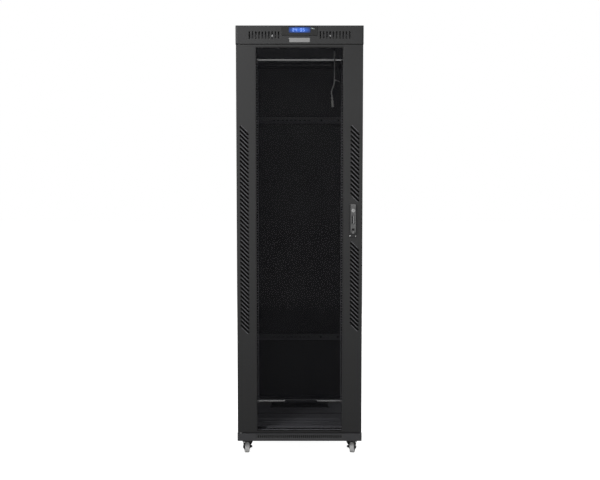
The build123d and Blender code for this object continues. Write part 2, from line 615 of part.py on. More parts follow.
with BuildPart() as handle_lever:
    with BuildSketch(Plane.YZ.offset(HANDLE_X - LEVER_WIDTH / 2)):
        with BuildLine():
            Line((LEVER_BACK, SPINDLE_Z), (LEVER_BACK, LEVER_TOP))
            Line((LEVER_BACK, LEVER_TOP), (LEVER_FRONT + 5, LEVER_TOP))
            Line((LEVER_FRONT + 5, LEVER_TOP), (LEVER_FRONT, LEVER_TOP - 8))
            Line((LEVER_FRONT, LEVER_TOP - 8), (LEVER_FRONT, SPINDLE_Z + 2))
            Line((LEVER_FRONT, SPINDLE_Z + 2), (LEVER_PIVOT_Y - 3, SPINDLE_Z - 6))
            Line((LEVER_PIVOT_Y - 3, SPINDLE_Z - 6), (LEVER_PIVOT_Y, SPINDLE_Z - 6))
            RadiusArc((LEVER_PIVOT_Y, SPINDLE_Z - 6), (LEVER_BACK, SPINDLE_Z), -6)
        make_face()
    extrude(amount=LEVER_WIDTH)
    # fork around the spindle's head, and the lock's bore
    block((HANDLE_X - 6.3, HANDLE_X + 6.3), (LEVER_FRONT, LEVER_BACK), (SPINDLE_Z - 12, SPINDLE_Z + 18),
          Mode.SUBTRACT)
    rod_x(LEVER_PIVOT_Y, SPINDLE_Z, PIVOT_PIN_RADIUS + RUNNING_CLEARANCE, HANDLE_X - 12, HANDLE_X + 12,
          Mode.SUBTRACT)
    rod_y(HANDLE_X, LOCK_Z, LOCK_RADIUS + RUNNING_CLEARANCE, LEVER_FRONT, LEVER_BACK, Mode.SUBTRACT)
    # finger recess below the lock
    with BuildSketch(Plane.XZ.offset(-LEVER_FRONT)):
        with Locations((HANDLE_X, (RECESS_Z[0] + RECESS_Z[1]) / 2)):
            RectangleRounded(RECESS_WIDTH, RECESS_Z[1] - RECESS_Z[0], 3)
    extrude(amount=-RECESS_DEPTH, mode=Mode.SUBTRACT)
save(handle_lever.part, "handle_lever")

with BuildPart() as lock_cylinder:
    rod_y(HANDLE_X, LOCK_Z, LOCK_RADIUS, LEVER_FRONT - 1, LEVER_BACK - 0.5)
    fillet(lock_cylinder.faces().sort_by(Axis.Y)[0].edges(), 1)
    block((HANDLE_X - 0.8, HANDLE_X + 0.8), (LEVER_FRONT - 1, LEVER_FRONT + 3), (LOCK_Z - 4.5, LOCK_Z + 4.5),
          Mode.SUBTRACT)
save(lock_cylinder.part, "lock_cylinder")

# ======================= rear door and its lock =======================

with BuildPart() as rear_door:
    block((-DOOR_HALF_WIDTH, DOOR_HALF_WIDTH), (REAR - DOOR_DEPTH, REAR), (DOOR_BOTTOM, DOOR_TOP))
    hollow_y = (REAR - DOOR_DEPTH, REAR - DOOR_SHEET)
    hinge_side = HINGE_X - 22
    block((-DOOR_HALF_WIDTH + DOOR_SHEET, hinge_side), hollow_y,
          (DOOR_BOTTOM + DOOR_SHEET, DOOR_TOP - DOOR_SHEET), Mode.SUBTRACT)
    block((hinge_side, DOOR_HALF_WIDTH - DOOR_SHEET), hollow_y,
          (DOOR_BOTTOM + HINGE_BLOCK, DOOR_TOP - HINGE_BLOCK), Mode.SUBTRACT)
    for low in (DOOR_BOTTOM, DOOR_TOP - HINGE_BLOCK):
        rod_z(HINGE_X, HINGE_Y, HINGE_PIN_RADIUS + RUNNING_CLEARANCE, low, low + HINGE_BLOCK, Mode.SUBTRACT)
    rod_y(-HANDLE_X, SPINDLE_Z, LOCK_RADIUS + RUNNING_CLEARANCE, REAR - DOOR_SHEET, REAR, Mode.SUBTRACT)
save(rear_door.part, "rear_door")

REAR_CAM_Y = (FRAME_REAR - 8, FRAME_REAR - 5)

with BuildPart() as rear_lock:
    rod_y(-HANDLE_X, SPINDLE_Z, 12, REAR, REAR + 4)
    rod_y(-HANDLE_X, SPINDLE_Z, LOCK_RADIUS, REAR - DOOR_DEPTH, REAR)
    rod_y(-HANDLE_X, SPINDLE_Z, 6, REAR_CAM_Y[0], REAR - DOOR_DEPTH)
    block((-HANDLE_X - 6, -HANDLE_X + 6), REAR_CAM_Y, (SPINDLE_Z - 29, SPINDLE_Z + 7))
    block((-HANDLE_X - 0.8, -HANDLE_X + 0.8), (REAR + 1, REAR + 4), (SPINDLE_Z - 5, SPINDLE_Z + 5),
          Mode.SUBTRACT)
save(rear_lock.part, "rear_lock")

# ======================= side panels and their latches =======================

PANEL_HALF_DEPTH = 367.5
PANEL_Z = (BASE_TOP + 0.5, ROOF_UNDERSIDE - 0.5)
PANEL_INNER = 293
LATCH_Z = 1992
LATCH_RADIUS = 11
LATCH_ARM_X = (281, 284)
LATCH_FACE = HALF_WIDTH + 1.5

for side, side_name in ((-1, "left"), (1, "right")):
    with BuildPart() as side_panel:
        skin = HALF_WIDTH - DOOR_SHEET
        block(tuple(sorted((side * PANEL_INNER, side * HALF_WIDTH))), (-PANEL_HALF_DEPTH, PANEL_HALF_DEPTH),
              PANEL_Z)
        block(tuple(sorted((side * PANEL_INNER, side * skin))),
              (-PANEL_HALF_DEPTH + DOOR_SHEET, PANEL_HALF_DEPTH - DOOR_SHEET),
              (PANEL_Z[0] + DOOR_SHEET, PANEL_Z[1] - DOOR_SHEET), Mode.SUBTRACT)
        rod_x(0, LATCH_Z, LATCH_RADIUS + RUNNING_CLEARANCE, side * skin, side * HALF_WIDTH, Mode.SUBTRACT)
    save(side_panel.part, f"{side_name}_side_panel")

    with BuildPart() as panel_latch:
        rod_x(0, LATCH_Z, LATCH_RADIUS, side * LATCH_ARM_X[1], side * LATCH_FACE)
        block(tuple(sorted(side * x for x in LATCH_ARM_X)), (-24, 8), (LATCH_Z - 5, LATCH_Z + 5))
        block(tuple(sorted((side * (LATCH_FACE - 2), side * LATCH_FACE))), (-1, 1),
              (LATCH_Z - 7, LATCH_Z + 7), Mode.SUBTRACT)
    save(panel_latch.part, f"{side_name}_panel_latch")

# ======================= casters =======================

TOP_PLATE_HALF = (38, 32)
TOP_PLATE_UNDERSIDE = CASTER_HEIGHT - 3
RACE_RADIUS = 18
RACE_BOTTOM = 67.4
KINGPIN_HEAD_TOP = 60
DECK_UNDERSIDE = 63
DECK_TOP = 66

with BuildPart() as caster_plates:
    for side_x in (-1, 1):
        for side_y in (-1, 1):
            x, y = side_x * CASTER_X, side_y * CASTER_Y
            block((x - TOP_PLATE_HALF[0], x + TOP_PLATE_HALF[0]),
                  (y - TOP_PLATE_HALF[1], y + TOP_PLATE_HALF[1]), (TOP_PLATE_UNDERSIDE, CASTER_HEIGHT))
            rod_z(x, y, RACE_RADIUS, RACE_BOTTOM, TOP_PLATE_UNDERSIDE)
            rod_z(x, y, KINGPIN_RADIUS, KINGPIN_HEAD_TOP, RACE_BOTTOM)
            rod_z(x, y, KINGPIN_RADIUS + 3, KINGPIN_HEAD_TOP - 3, KINGPIN_HEAD_TOP)
save(caster_plates.part, "caster_plates")


arm_inner, arm_outer = WHEEL_WIDTH / 2 + 1.5, WHEEL_WIDTH / 2 + 4.5
DECK_HALF = 24.5
ARM_KNEE = 44
ARM_FOOT = 19
ARM_SIDE_OUTLINE = [(-16, 64), (34, 64), (51, 60), (51, 51), (30, ARM_FOOT), (14, ARM_FOOT), (-16, 54)]
PEDAL_PIVOT = (46, 56)
PEDAL_PIN_RADIUS = 2
WHEEL_RECESS = (9, 20, 3)
PEDAL_HALF = 14.5
PEDAL_PIN_HALF = 20


def caster_directions(degrees):
    """The way a caster trails and the way its axle points, as unit vectors."""
    angle = math.radians(degrees)
    trail = (math.cos(angle), math.sin(angle), 0)
    axle = (math.sin(angle), -math.cos(angle), 0)
    return trail, axle


for corner, (side_x, side_y, degrees) in CASTER_TRAILS.items():
    centre = (side_x * CASTER_X, side_y * CASTER_Y, 0)
    trail, axle = caster_directions(degrees)
    upright = Plane(origin=centre, x_dir=trail, z_dir=axle)
    flat = Plane(origin=centre, x_dir=trail, z_dir=(0, 0, 1))
    across = Plane(origin=centre, x_dir=[-value for value in axle], z_dir=trail)
    has_brake = side_y < 0

    with BuildPart() as fork:
        # two arms that draw in from the deck to the axle, trimmed to their side outline
        with BuildSketch(across.offset(-20)):
            with BuildLine():
                Polyline((DECK_HALF - 3, DECK_UNDERSIDE), (DECK_HALF, DECK_UNDERSIDE), (arm_outer, ARM_KNEE),
                         (arm_outer, ARM_FOOT), (arm_inner, ARM_FOOT), (arm_inner, ARM_KNEE), close=True)
            make_face()
            mirror(about=Plane.YZ)
        extrude(amount=75)
        with BuildSketch(upright.offset(-DECK_HALF)):
            with BuildLine():
                Polyline(*ARM_SIDE_OUTLINE, close=True)
            make_face()
        extrude(amount=2 * DECK_HALF, mode=Mode.INTERSECT)
        # swivel deck with its kingpin bore
        with BuildSketch(flat.offset(DECK_UNDERSIDE)):
            Circle(DECK_HALF)
            with Locations((9, 0)):
                Rectangle(50, 2 * DECK_HALF)
            Circle(KINGPIN_RADIUS + RUNNING_CLEARANCE, mode=Mode.SUBTRACT)
        extrude(amount=DECK_TOP - DECK_UNDERSIDE)
        # axle bolt, and the pedal's pin where there is a brake
        with BuildSketch(upright.offset(-arm_outer)):
            with Locations((TRAIL, WHEEL_RADIUS)):
                Circle(AXLE_RADIUS)
        extrude(amount=2 * arm_outer)
        for start in (arm_outer, -arm_outer - 3):
            with BuildSketch(upright.offset(start)):
                with Locations((TRAIL, WHEEL_RADIUS)):
                    RegularPolygon(7, 6)
            extrude(amount=3)
        if has_brake:
            with BuildSketch(upright.offset(-PEDAL_PIN_HALF)):
                with Locations(PEDAL_PIVOT):
                    Circle(PEDAL_PIN_RADIUS)
            extrude(amount=2 * PEDAL_PIN_HALF)
    save(fork.part, f"caster_fork_{corner}")

    with BuildPart() as wheel:
        with BuildSketch(upright.offset(-WHEEL_WIDTH / 2)):
            with Locations((TRAIL, WHEEL_RADIUS)):
                Circle(WHEEL_RADIUS)
        extrude(amount=WHEEL_WIDTH)
        fillet(wheel.edges(), 3)
        for start in (-WHEEL_WIDTH / 2, WHEEL_WIDTH / 2 - WHEEL_RECESS[2]):
            with BuildSketch(upright.offset(start)):
                with Locations((TRAIL, WHEEL_RADIUS)):
                    Circle(WHEEL_RECESS[1])
                    Circle(WHEEL_RECESS[0], mode=Mode.SUBTRACT)
            extrude(amount=WHEEL_RECESS[2], mode=Mode.SUBTRACT)
        with BuildSketch(upright.offset(-WHEEL_WIDTH / 2)):
            with Locations((TRAIL, WHEEL_RADIUS)):
                Circle(AXLE_RADIUS + RUNNING_CLEARANCE)
        extrude(amount=WHEEL_WIDTH, mode=Mode.SUBTRACT)
    save(wheel.part, f"caster_wheel_{corner}")

    if has_brake:
        with BuildPart() as brake_pedal:
            with BuildSketch(upright.offset(-PEDAL_HALF)):
                with Locations(PEDAL_PIVOT):
                    Circle(5)
                with BuildLine():
                    Polyline((46, 58), (46, 54.5), (74, 60), (74, 63.5), close=True)
                make_face()
                with Locations(PEDAL_PIVOT):
                    Circle(PEDAL_PIN_RADIUS + RUNNING_CLEARANCE, mode=Mode.SUBTRACT)
            extrude(amount=2 * PEDAL_HALF)
        save(brake_pedal.part, f"brake_pedal_{corner}")

    # levelling foot beside the caster, screwed up clear of the floor
    with BuildPart() as foot:
        x, y = side_x * FOOT_X, side_y * FOOT_Y
        rod_z(x, y, FOOT_PAD_RADIUS, *FOOT_PAD_Z)
        fillet(foot.faces().sort_by(Axis.Z)[-1].edges(), 2)
        rod_z(x, y, STEM_RADIUS + 3, FOOT_PAD_Z[1], STEM_BOTTOM)
        rod_z(x, y, STEM_RADIUS, STEM_BOTTOM, STEM_TOP)
    save(foot.part, f"levelling_foot_{corner}")

# ======================= hanging fan lead =======================

LEAD_RADIUS = 3
LEAD_ROUTE = [
    (174.0, -110.0, 1973.0),
    (174.0, -110.0, 1815.0),
    (163.0, -109.0, 1786.0),
    (158.0, -109.5, 1770.0),
    (161.5, -110.0, 1757.5),
    (162.3, -110.0, 1746.5),
]

FLANGE_THICKNESS = 4
SLEEVE_LENGTH = 8
SLEEVE_TAPER = 12

with BuildPart() as lead_gland:
    rod_z(LEAD_X, LEAD_Y, GLAND_RADIUS, CEILING, CEILING + 6)
    rod_z(LEAD_X, LEAD_Y, GLAND_RADIUS + 2.5, CEILING - FLANGE_THICKNESS, CEILING)
    with BuildSketch(Plane.XY.offset(CEILING - FLANGE_THICKNESS)):
        with Locations((LEAD_X, LEAD_Y)):
            Circle(2 * LEAD_RADIUS)
    extrude(amount=-SLEEVE_LENGTH, taper=SLEEVE_TAPER)
save(lead_gland.part, "lead_gland")


def corner_radii(points):
    """The largest easy arc at each corner: 0.45 of the shorter run over the tangent of half the turn."""
    radii = []
    for before, at, after in zip(points, points[1:], points[2:]):
        run_in = Vector(*at) - Vector(*before)
        run_out = Vector(*after) - Vector(*at)
        half_turn = math.radians(run_in.get_angle(run_out)) / 2
        radii.append(0.45 * min(run_in.length, run_out.length) / math.tan(half_turn))
    return radii


lead_radii = corner_radii(LEAD_ROUTE)
print("lead corner radii, mm:", [round(radius, 1) for radius in lead_radii])

with BuildPart() as power_lead:
    with BuildLine() as lead_path:
        FilletPolyline(*LEAD_ROUTE, radius=lead_radii)
    lead_wire = lead_path.wire()
    with BuildSketch(Plane(origin=LEAD_ROUTE[0], z_dir=lead_wire % 0)):
        Circle(LEAD_RADIUS)
    sweep(path=lead_wire)
lead_length = lead_wire.length
print("lead length, mm:", round(lead_length, 1))
print("lead volume over section times length:",
      round(power_lead.part.volume / (math.pi * LEAD_RADIUS**2 * lead_length), 4))
save(power_lead.part, "power_lead")

lead_end = Vector(*LEAD_ROUTE[-1])
end_direction = (lead_end - Vector(*LEAD_ROUTE[-2])).normalized()
plug_plane = Plane(origin=LEAD_ROUTE[-1], x_dir=(0, 1, 0), z_dir=end_direction)

COLLAR_RADIUS = 4.5
COLLAR_LENGTH = 11
NECK_RADIUS = 3.5
NECK_LENGTH = 7
PLUG_BODY_SECTION = (13, 12)
PLUG_BODY_LENGTH = 31
PIN_SLOT_SIZE = (6, 2)
PIN_SLOT_PITCH = 5
PIN_SLOT_DEPTH = 6

with BuildPart() as lead_plug:
    with BuildSketch(plug_plane):
        Circle(COLLAR_RADIUS)
    extrude(amount=COLLAR_LENGTH)
    with BuildSketch(plug_plane.offset(COLLAR_LENGTH)):
        Circle(NECK_RADIUS)
    extrude(amount=NECK_LENGTH)
    with BuildSketch(plug_plane.offset(COLLAR_LENGTH + NECK_LENGTH)):
        RectangleRounded(*PLUG_BODY_SECTION, 3)
    extrude(amount=PLUG_BODY_LENGTH)
    with BuildSketch(plug_plane.offset(COLLAR_LENGTH + NECK_LENGTH + PLUG_BODY_LENGTH)):
        with GridLocations(1, PIN_SLOT_PITCH, 1, 2):
            Rectangle(*PIN_SLOT_SIZE)
    extrude(amount=-PIN_SLOT_DEPTH, mode=Mode.SUBTRACT)
save(lead_plug.part, "lead_plug")

TIE_Z = 1828
TIE_HEIGHT = 4
TIE_INNER_RADIUS = LEAD_RADIUS + 0.1
TIE_OUTER_RADIUS = LEAD_RADIUS + 1.6
TIE_HEAD_X = (LEAD_X + 3.5, LEAD_X + 8.5)
TIE_HEAD_HALF_DEPTH = 2.5
TIE_TAIL_HALF_DEPTH = 1.8
TIE_TAIL_OUTLINE = [(TIE_HEAD_X[1] - 0.5, TIE_Z + 3), (TIE_HEAD_X[1] - 0.5, TIE_Z + 1.6),
                    (LEAD_X + 26, TIE_Z - 7), (LEAD_X + 26.6, TIE_Z - 5.6)]

with BuildPart() as cable_tie:
    with BuildSketch(Plane.XY.offset(TIE_Z)):
        with Locations((LEAD_X, LEAD_Y)):
            Circle(TIE_OUTER_RADIUS)
            Circle(TIE_INNER_RADIUS, mode=Mode.SUBTRACT)
    extrude(amount=TIE_HEIGHT)
    block(TIE_HEAD_X, (LEAD_Y - TIE_HEAD_HALF_DEPTH, LEAD_Y + TIE_HEAD_HALF_DEPTH),
          (TIE_Z - 0.5, TIE_Z + TIE_HEIGHT + 0.5))
    with BuildSketch(Plane.XZ.offset(-LEAD_Y - TIE_TAIL_HALF_DEPTH)):
        with BuildLine():
            Polyline(*TIE_TAIL_OUTLINE, close=True)
        make_face()
    extrude(amount=2 * TIE_TAIL_HALF_DEPTH)
save(cable_tie.part, "cable_tie")
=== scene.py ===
import json
import math
import random

import bmesh
import bpy
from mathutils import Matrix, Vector


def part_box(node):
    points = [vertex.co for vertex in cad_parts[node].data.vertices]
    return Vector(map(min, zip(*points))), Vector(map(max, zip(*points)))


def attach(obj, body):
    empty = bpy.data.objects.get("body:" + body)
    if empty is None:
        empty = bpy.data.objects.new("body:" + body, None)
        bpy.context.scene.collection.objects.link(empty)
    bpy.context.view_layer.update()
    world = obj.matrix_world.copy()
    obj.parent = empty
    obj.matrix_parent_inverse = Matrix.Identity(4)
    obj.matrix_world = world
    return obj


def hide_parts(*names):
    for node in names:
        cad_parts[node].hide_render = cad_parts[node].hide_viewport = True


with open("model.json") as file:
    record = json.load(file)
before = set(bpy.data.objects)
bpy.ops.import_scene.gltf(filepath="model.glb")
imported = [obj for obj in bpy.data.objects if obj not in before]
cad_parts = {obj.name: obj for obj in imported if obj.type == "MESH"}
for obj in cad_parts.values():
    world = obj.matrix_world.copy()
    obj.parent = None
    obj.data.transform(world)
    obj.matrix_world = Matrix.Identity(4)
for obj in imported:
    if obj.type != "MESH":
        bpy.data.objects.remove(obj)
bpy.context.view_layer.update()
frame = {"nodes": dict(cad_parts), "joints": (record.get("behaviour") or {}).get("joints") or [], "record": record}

# Looks for the network server cabinet. Metres, in the frame's own axes:
# front towards -Y, +X right seen from the front, +Z up, origin on the floor.

scene = bpy.context.scene

MM = 0.001
CABINET = "cabinet"
DOOR = "front_door"
CORNERS = ("front_left", "front_right", "rear_left", "rear_right")

FRONT_FACE_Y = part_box("door_frame")[0].y
FLOOR_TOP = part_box("base_frame")[1].z + 2 * MM
SILL_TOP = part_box("base_frame")[1].z + 15 * MM

# ======================= camera =======================

CAMERA_DISTANCE = 4.456
CAMERA_HEIGHT = 1.3004
CAMERA_PITCH = 0.0778
CAMERA_SIDESTEP = 0.002
FOCAL_LENGTH = 56.42
SENSOR_WIDTH = 36.0
FRAME_SHIFT_UP = 1 / 30
FAR_CLIP = 100


def make_camera():
    data = bpy.data.cameras.new("camera")
    data.sensor_width = SENSOR_WIDTH
    data.sensor_fit = "HORIZONTAL"
    data.lens = FOCAL_LENGTH
    data.shift_y = FRAME_SHIFT_UP
    data.clip_end = FAR_CLIP
    camera = bpy.data.objects.new("camera", data)
    camera.location = (CAMERA_SIDESTEP, FRONT_FACE_Y - CAMERA_DISTANCE, CAMERA_HEIGHT)
    camera.rotation_euler = (math.pi / 2 - CAMERA_PITCH, 0, 0)
    scene.collection.objects.link(camera)
    scene.camera = camera


make_camera()

# ======================= the hanging fan lead =======================

LEAD_DIAMETER = 6 * MM
LEAD_ROUTE = [
    (0.1740, -0.1100, 1.9730),
    (0.1740, -0.1100, 1.8470),
    (0.1740, -0.1100, 1.8150),
    (0.1630, -0.1090, 1.7860),
    (0.1580, -0.1095, 1.7700),
    (0.1615, -0.1100, 1.7575),
    (0.1623, -0.1100, 1.7465),
]


def make_lead():
    curve = bpy.data.curves.new("fan_lead", "CURVE")
    curve.dimensions = "3D"
    # the depth is 1 and each point's radius is the lead's, which keeps the curve's box true
    curve.bevel_depth = 1.0
    curve.bevel_resolution = 6
    curve.resolution_u = 16
    spline = curve.splines.new("NURBS")
    spline.points.add(len(LEAD_ROUTE) - 1)
    for point, place in zip(spline.points, LEAD_ROUTE):
        point.co = (*place, 1)
        point.radius = LEAD_DIAMETER / 2
    spline.order_u = 3
    spline.use_endpoint_u = True
    lead = bpy.data.objects.new("fan_lead", curve)
    scene.collection.objects.link(lead)
    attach(lead, CABINET)
    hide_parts("power_lead")
    return lead


fan_lead = make_lead()

# ======================= material building blocks =======================


class Shader:
    """A material being built around one Principled BSDF."""

    def __init__(self, name):
        self.material = bpy.data.materials.new(name)
        self.material.use_nodes = True
        self.tree = self.material.node_tree
        self.principled = self.tree.nodes["Principled BSDF"]
        self.place = self.node("ShaderNodeTexCoord").outputs["Object"]

    def node(self, kind, **inputs):
        made = self.tree.nodes.new(kind)
        for key, value in inputs.items():
            self.feed(made.inputs[key.replace("_", " ")], value)
        return made

    def feed(self, socket, value):
        if isinstance(value, bpy.types.NodeSocket):
            self.tree.links.new(value, socket)
        else:
            socket.default_value = value

    def set(self, name, value):
        self.feed(self.principled.inputs[name], value)

    def stretched(self, scale):
        """Object coordinates multiplied along each axis, for grain that runs one way."""
        mapping = self.node("ShaderNodeMapping", Vector=self.place)
        mapping.inputs["Scale"].default_value = scale
        return mapping.outputs["Vector"]

    def noise(self, scale, detail=3.0, roughness=0.55, place=None):
        return self.node("ShaderNodeTexNoise", Vector=place or self.place, Scale=scale, Detail=detail,
                         Roughness=roughness).outputs["Fac"]

    def voronoi(self, scale, output="Distance"):
        return self.node("ShaderNodeTexVoronoi", Vector=self.place, Scale=scale).outputs[output]

    def remap(self, value, low_in, high_in, low_out, high_out):
        made = self.node("ShaderNodeMapRange", Value=value)
        for key, number in (("From Min", low_in), ("From Max", high_in), ("To Min", low_out),
                            ("To Max", high_out)):
            made.inputs[key].default_value = number
        return made.outputs["Result"]

    def math(self, operation, first, second=0.0):
        made = self.node("ShaderNodeMath")
        made.operation = operation
        self.feed(made.inputs[0], first)
        self.feed(made.inputs[1], second)
        return made.outputs["Value"]

    def mix(self, factor, first, second, blend="MIX"):
        made = self.node("ShaderNodeMix")
        made.data_type = "RGBA"
        made.blend_type = blend
        self.feed(made.inputs["Factor"], factor)
        first_colour, second_colour = [socket for socket in made.inputs if socket.type == "RGBA"]
        self.feed(first_colour, first)
        self.feed(second_colour, second)
        return next(socket for socket in made.outputs if socket.type == "RGBA")

    def bump(self, height, strength, distance, normal=None):
        made = self.node("ShaderNodeBump", Height=height, Strength=strength, Distance=distance)
        if normal is not None:
            self.feed(made.inputs["Normal"], normal)
        return made.outputs["Normal"]

    def axis(self, letter):
        """One object coordinate of the surface, in metres."""
        split = self.node("ShaderNodeSeparateXYZ", Vector=self.place)
        return split.outputs[letter]

    def rounded_normal(self, radius):
        """A normal that rounds off sharp folded edges."""
        made = self.node("ShaderNodeBevel", Radius=radius)
        made.samples = 4
        return made.outputs["Normal"]

    def edge_mask(self, radius):
        """1 on edges, 0 on flats: how far the rounded normal leans from the true one."""
        lean = self.node("ShaderNodeVectorMath")
        lean.operation = "DOT_PRODUCT"
        self.feed(lean.inputs[0], self.rounded_normal(radius))
        self.feed(lean.inputs[1], self.node("ShaderNodeNewGeometry").outputs["Normal"])
        return self.remap(lean.outputs["Value"], 0.995, 0.86, 0.0, 1.0)


NEUTRAL = (1.0, 1.0, 1.0)
PAINT_TINT = (1.0, 1.0, 1.08)
GLASS_TINT = (1.0, 1.0, 1.2)
BLOOM_TINT = (1.0, 0.99, 0.96)


def grey(value, tint=NEUTRAL):
    return (value * tint[0], value * tint[1], value * tint[2], 1.0)


def scaled(colour, factor, lift=0.0):
    """A colour made darker or lighter, as RGBA."""
    return tuple(channel * factor + lift for channel in colour) + (1.0,)


def powder_coat(name, level, roughness=0.42, grain=0.2, wear=0.5, fold=1.2 * MM):
    """Textured powder coat: fine orange peel, slight mottling, handling marks and rubbed edges."""
    s = Shader(name)
    mottle = s.remap(s.noise(9.0, 4.0), 0.3, 0.7, 0.0, 1.0)
    base = s.mix(mottle, grey(level * 0.88, PAINT_TINT), grey(level * 1.12, PAINT_TINT))
    speckle = s.remap(s.voronoi(1400.0), 0.05, 0.5, 0.0, 1.0)
    base = s.mix(s.math("MULTIPLY", speckle, 0.16), base, grey(level * 1.7, PAINT_TINT))
    edges = s.math("MULTIPLY", s.edge_mask(1.6 * MM), s.remap(s.noise(60.0, 5.0), 0.38, 0.62, 0.25, 1.0))
    base = s.mix(s.math("MULTIPLY", edges, wear), base, grey(level * 2.6 + 0.02, PAINT_TINT))
    s.set("Base Color", base)
    smudge = s.remap(s.noise(3.5, 5.0, 0.7), 0.35, 0.7, 0.0, 0.09)
    s.set("Roughness", s.math("ADD", s.math("ADD", smudge, roughness - 0.04),
                              s.remap(s.noise(500.0, 2.0), 0.3, 0.7, 0.0, 0.07)))
    s.set("Specular IOR Level", 0.5)
    peel = s.math("ADD", s.noise(620.0, 3.0, 0.6), s.math("MULTIPLY", s.noise(180.0, 2.0), 0.5))
    s.set("Normal", s.bump(peel, grain, 0.25 * MM, s.rounded_normal(fold)))
    return s.material


def zinc_plate(name, level=0.62, roughness=0.32):
    """Bright zinc with its crystal patches, dull stains and scratches."""
    s = Shader(name)
    patch = s.voronoi(160.0, "Color")
    patch_value = s.remap(s.node("ShaderNodeRGBToBW", Color=patch).outputs["Val"], 0.2, 0.8, 0.85, 1.1)
    dull = s.remap(s.noise(45.0, 5.0), 0.45, 0.75, 0.0, 0.55)
    colour = s.mix(dull, grey(level), grey(level * 0.55))
    shade = s.node("ShaderNodeCombineColor", Red=patch_value, Green=patch_value, Blue=patch_value)
    s.set("Base Color", s.mix(0.7, colour, shade.outputs["Color"], "MULTIPLY"))
    s.set("Metallic", 1.0)
    scratches = s.noise(900.0, 2.0, 0.6, s.stretched((1.0, 0.12, 0.12)))
    s.set("Roughness", s.math("ADD", s.math("MULTIPLY", dull, 0.3),
                              s.remap(scratches, 0.3, 0.7, roughness - 0.06, roughness + 0.08)))
    s.set("Normal", s.bump(scratches, 0.12, 0.1 * MM, s.rounded_normal(0.5 * MM)))
    return s.material


def polished_metal(name, level, roughness):
    """Polished plating with fine wipe marks and fingerprints."""
    s = Shader(name)
    prints = s.remap(s.noise(90.0, 4.0), 0.4, 0.7, 0.0, 1.0)
    s.set("Base Color", s.mix(prints, grey(level), grey(level * 0.86)))
    s.set("Metallic", 1.0)
    wipe = s.noise(1300.0, 2.0, 0.5, s.stretched((0.15, 1.0, 1.0)))
    s.set("Roughness", s.math("ADD", s.math("MULTIPLY", prints, 0.12),
                              s.remap(wipe, 0.3, 0.7, roughness, roughness + 0.06)))
    s.set("Normal", s.bump(wipe, 0.05, 0.05 * MM, s.rounded_normal(0.6 * MM)))
    return s.material


def brushed_metal(name, level):
    """Brushed plate with its lines along X."""
    s = Shader(name)
    lines = s.noise(1500.0, 3.0, 0.6, s.stretched((0.02, 1.0, 1.0)))
    s.set("Base Color", s.mix(s.remap(lines, 0.3, 0.7, 0.0, 1.0), grey(level * 0.86), grey(level * 1.05)))
    s.set("Metallic", 1.0)
    s.set("Roughness", s.remap(lines, 0.3, 0.7, 0.24, 0.38))
    s.set("Normal", s.bump(lines, 0.1, 0.05 * MM, s.rounded_normal(0.5 * MM)))
    return s.material


def moulded_plastic(name, colour, roughness, grain_scale=1100.0, grain=0.25):
    """Moulded plastic with spark-eroded grain and uneven gloss."""
    s = Shader(name)
    patch = s.remap(s.noise(25.0, 4.0), 0.35, 0.65, 0.0, 1.0)
    base = s.mix(patch, scaled(colour, 0.88), scaled(colour, 1.1))
    rubbed = s.math("MULTIPLY", s.edge_mask(1.0 * MM), 0.35)
    s.set("Base Color", s.mix(rubbed, base, scaled(colour, 1.8, 0.01)))
    s.set("Roughness", s.remap(patch, 0.0, 1.0, roughness - 0.04, roughness + 0.04))
    s.set("Normal", s.bump(s.voronoi(grain_scale), grain, 0.12 * MM, s.rounded_normal(0.6 * MM)))
    return s.material


def soft_rubber(name, level, roughness=0.75):
    """Extruded or moulded rubber with bloom and fine drag lines."""
    s = Shader(name)
    bloom = s.remap(s.noise(40.0, 5.0, 0.65), 0.4, 0.75, 0.0, 1.0)
    s.set("Base Color", s.mix(bloom, grey(level), grey(min(level * 2.1, level + 0.12), BLOOM_TINT)))
    s.set("Roughness", s.remap(bloom, 0.0, 1.0, roughness - 0.1, roughness + 0.1))
    lines = s.noise(800.0, 2.0, 0.5, s.stretched((1.0, 1.0, 0.1)))
    s.set("Normal", s.bump(lines, 0.2, 0.15 * MM, s.rounded_normal(0.8 * MM)))
    return s.material


def foam_with_painted_shade(name):
    """Open-cell near-black foam: it takes in nearly all light; behind the slots and the grille it also stands in
    for their shade (painted shade).
    """
    s = Shader(name)
    cells = s.voronoi(1800.0)
    s.set("Base Color", s.mix(s.remap(cells, 0.0, 0.5, 0.0, 1.0), grey(0.0015), grey(0.004)))
    s.set("Roughness", 1.0)
    s.set("Specular IOR Level", 0.02)
    s.set("Normal", s.bump(cells, 0.4, 0.4 * MM))
    return s.material


def tinted_glass(name):
    """Grey toughened glass with a dull coating: wipe smears and a little dust."""
    s = Shader(name)
    smear = s.noise(7.0, 5.0, 0.65, s.stretched((1.0, 1.0, 0.35)))
    dust = s.remap(s.noise(900.0, 2.0), 0.62, 0.8, 0.0, 1.0)
    s.set("Base Color", s.mix(s.math("MULTIPLY", dust, 0.4), grey(0.007, GLASS_TINT), grey(0.025)))
    s.set("Roughness", s.remap(smear, 0.35, 0.7, 0.03, 0.10))
    s.set("IOR", 1.45)
    s.set("Specular IOR Level", 0.08)
    s.set("Alpha", s.remap(smear, 0.3, 0.7, 0.38, 0.42))
    return s.material


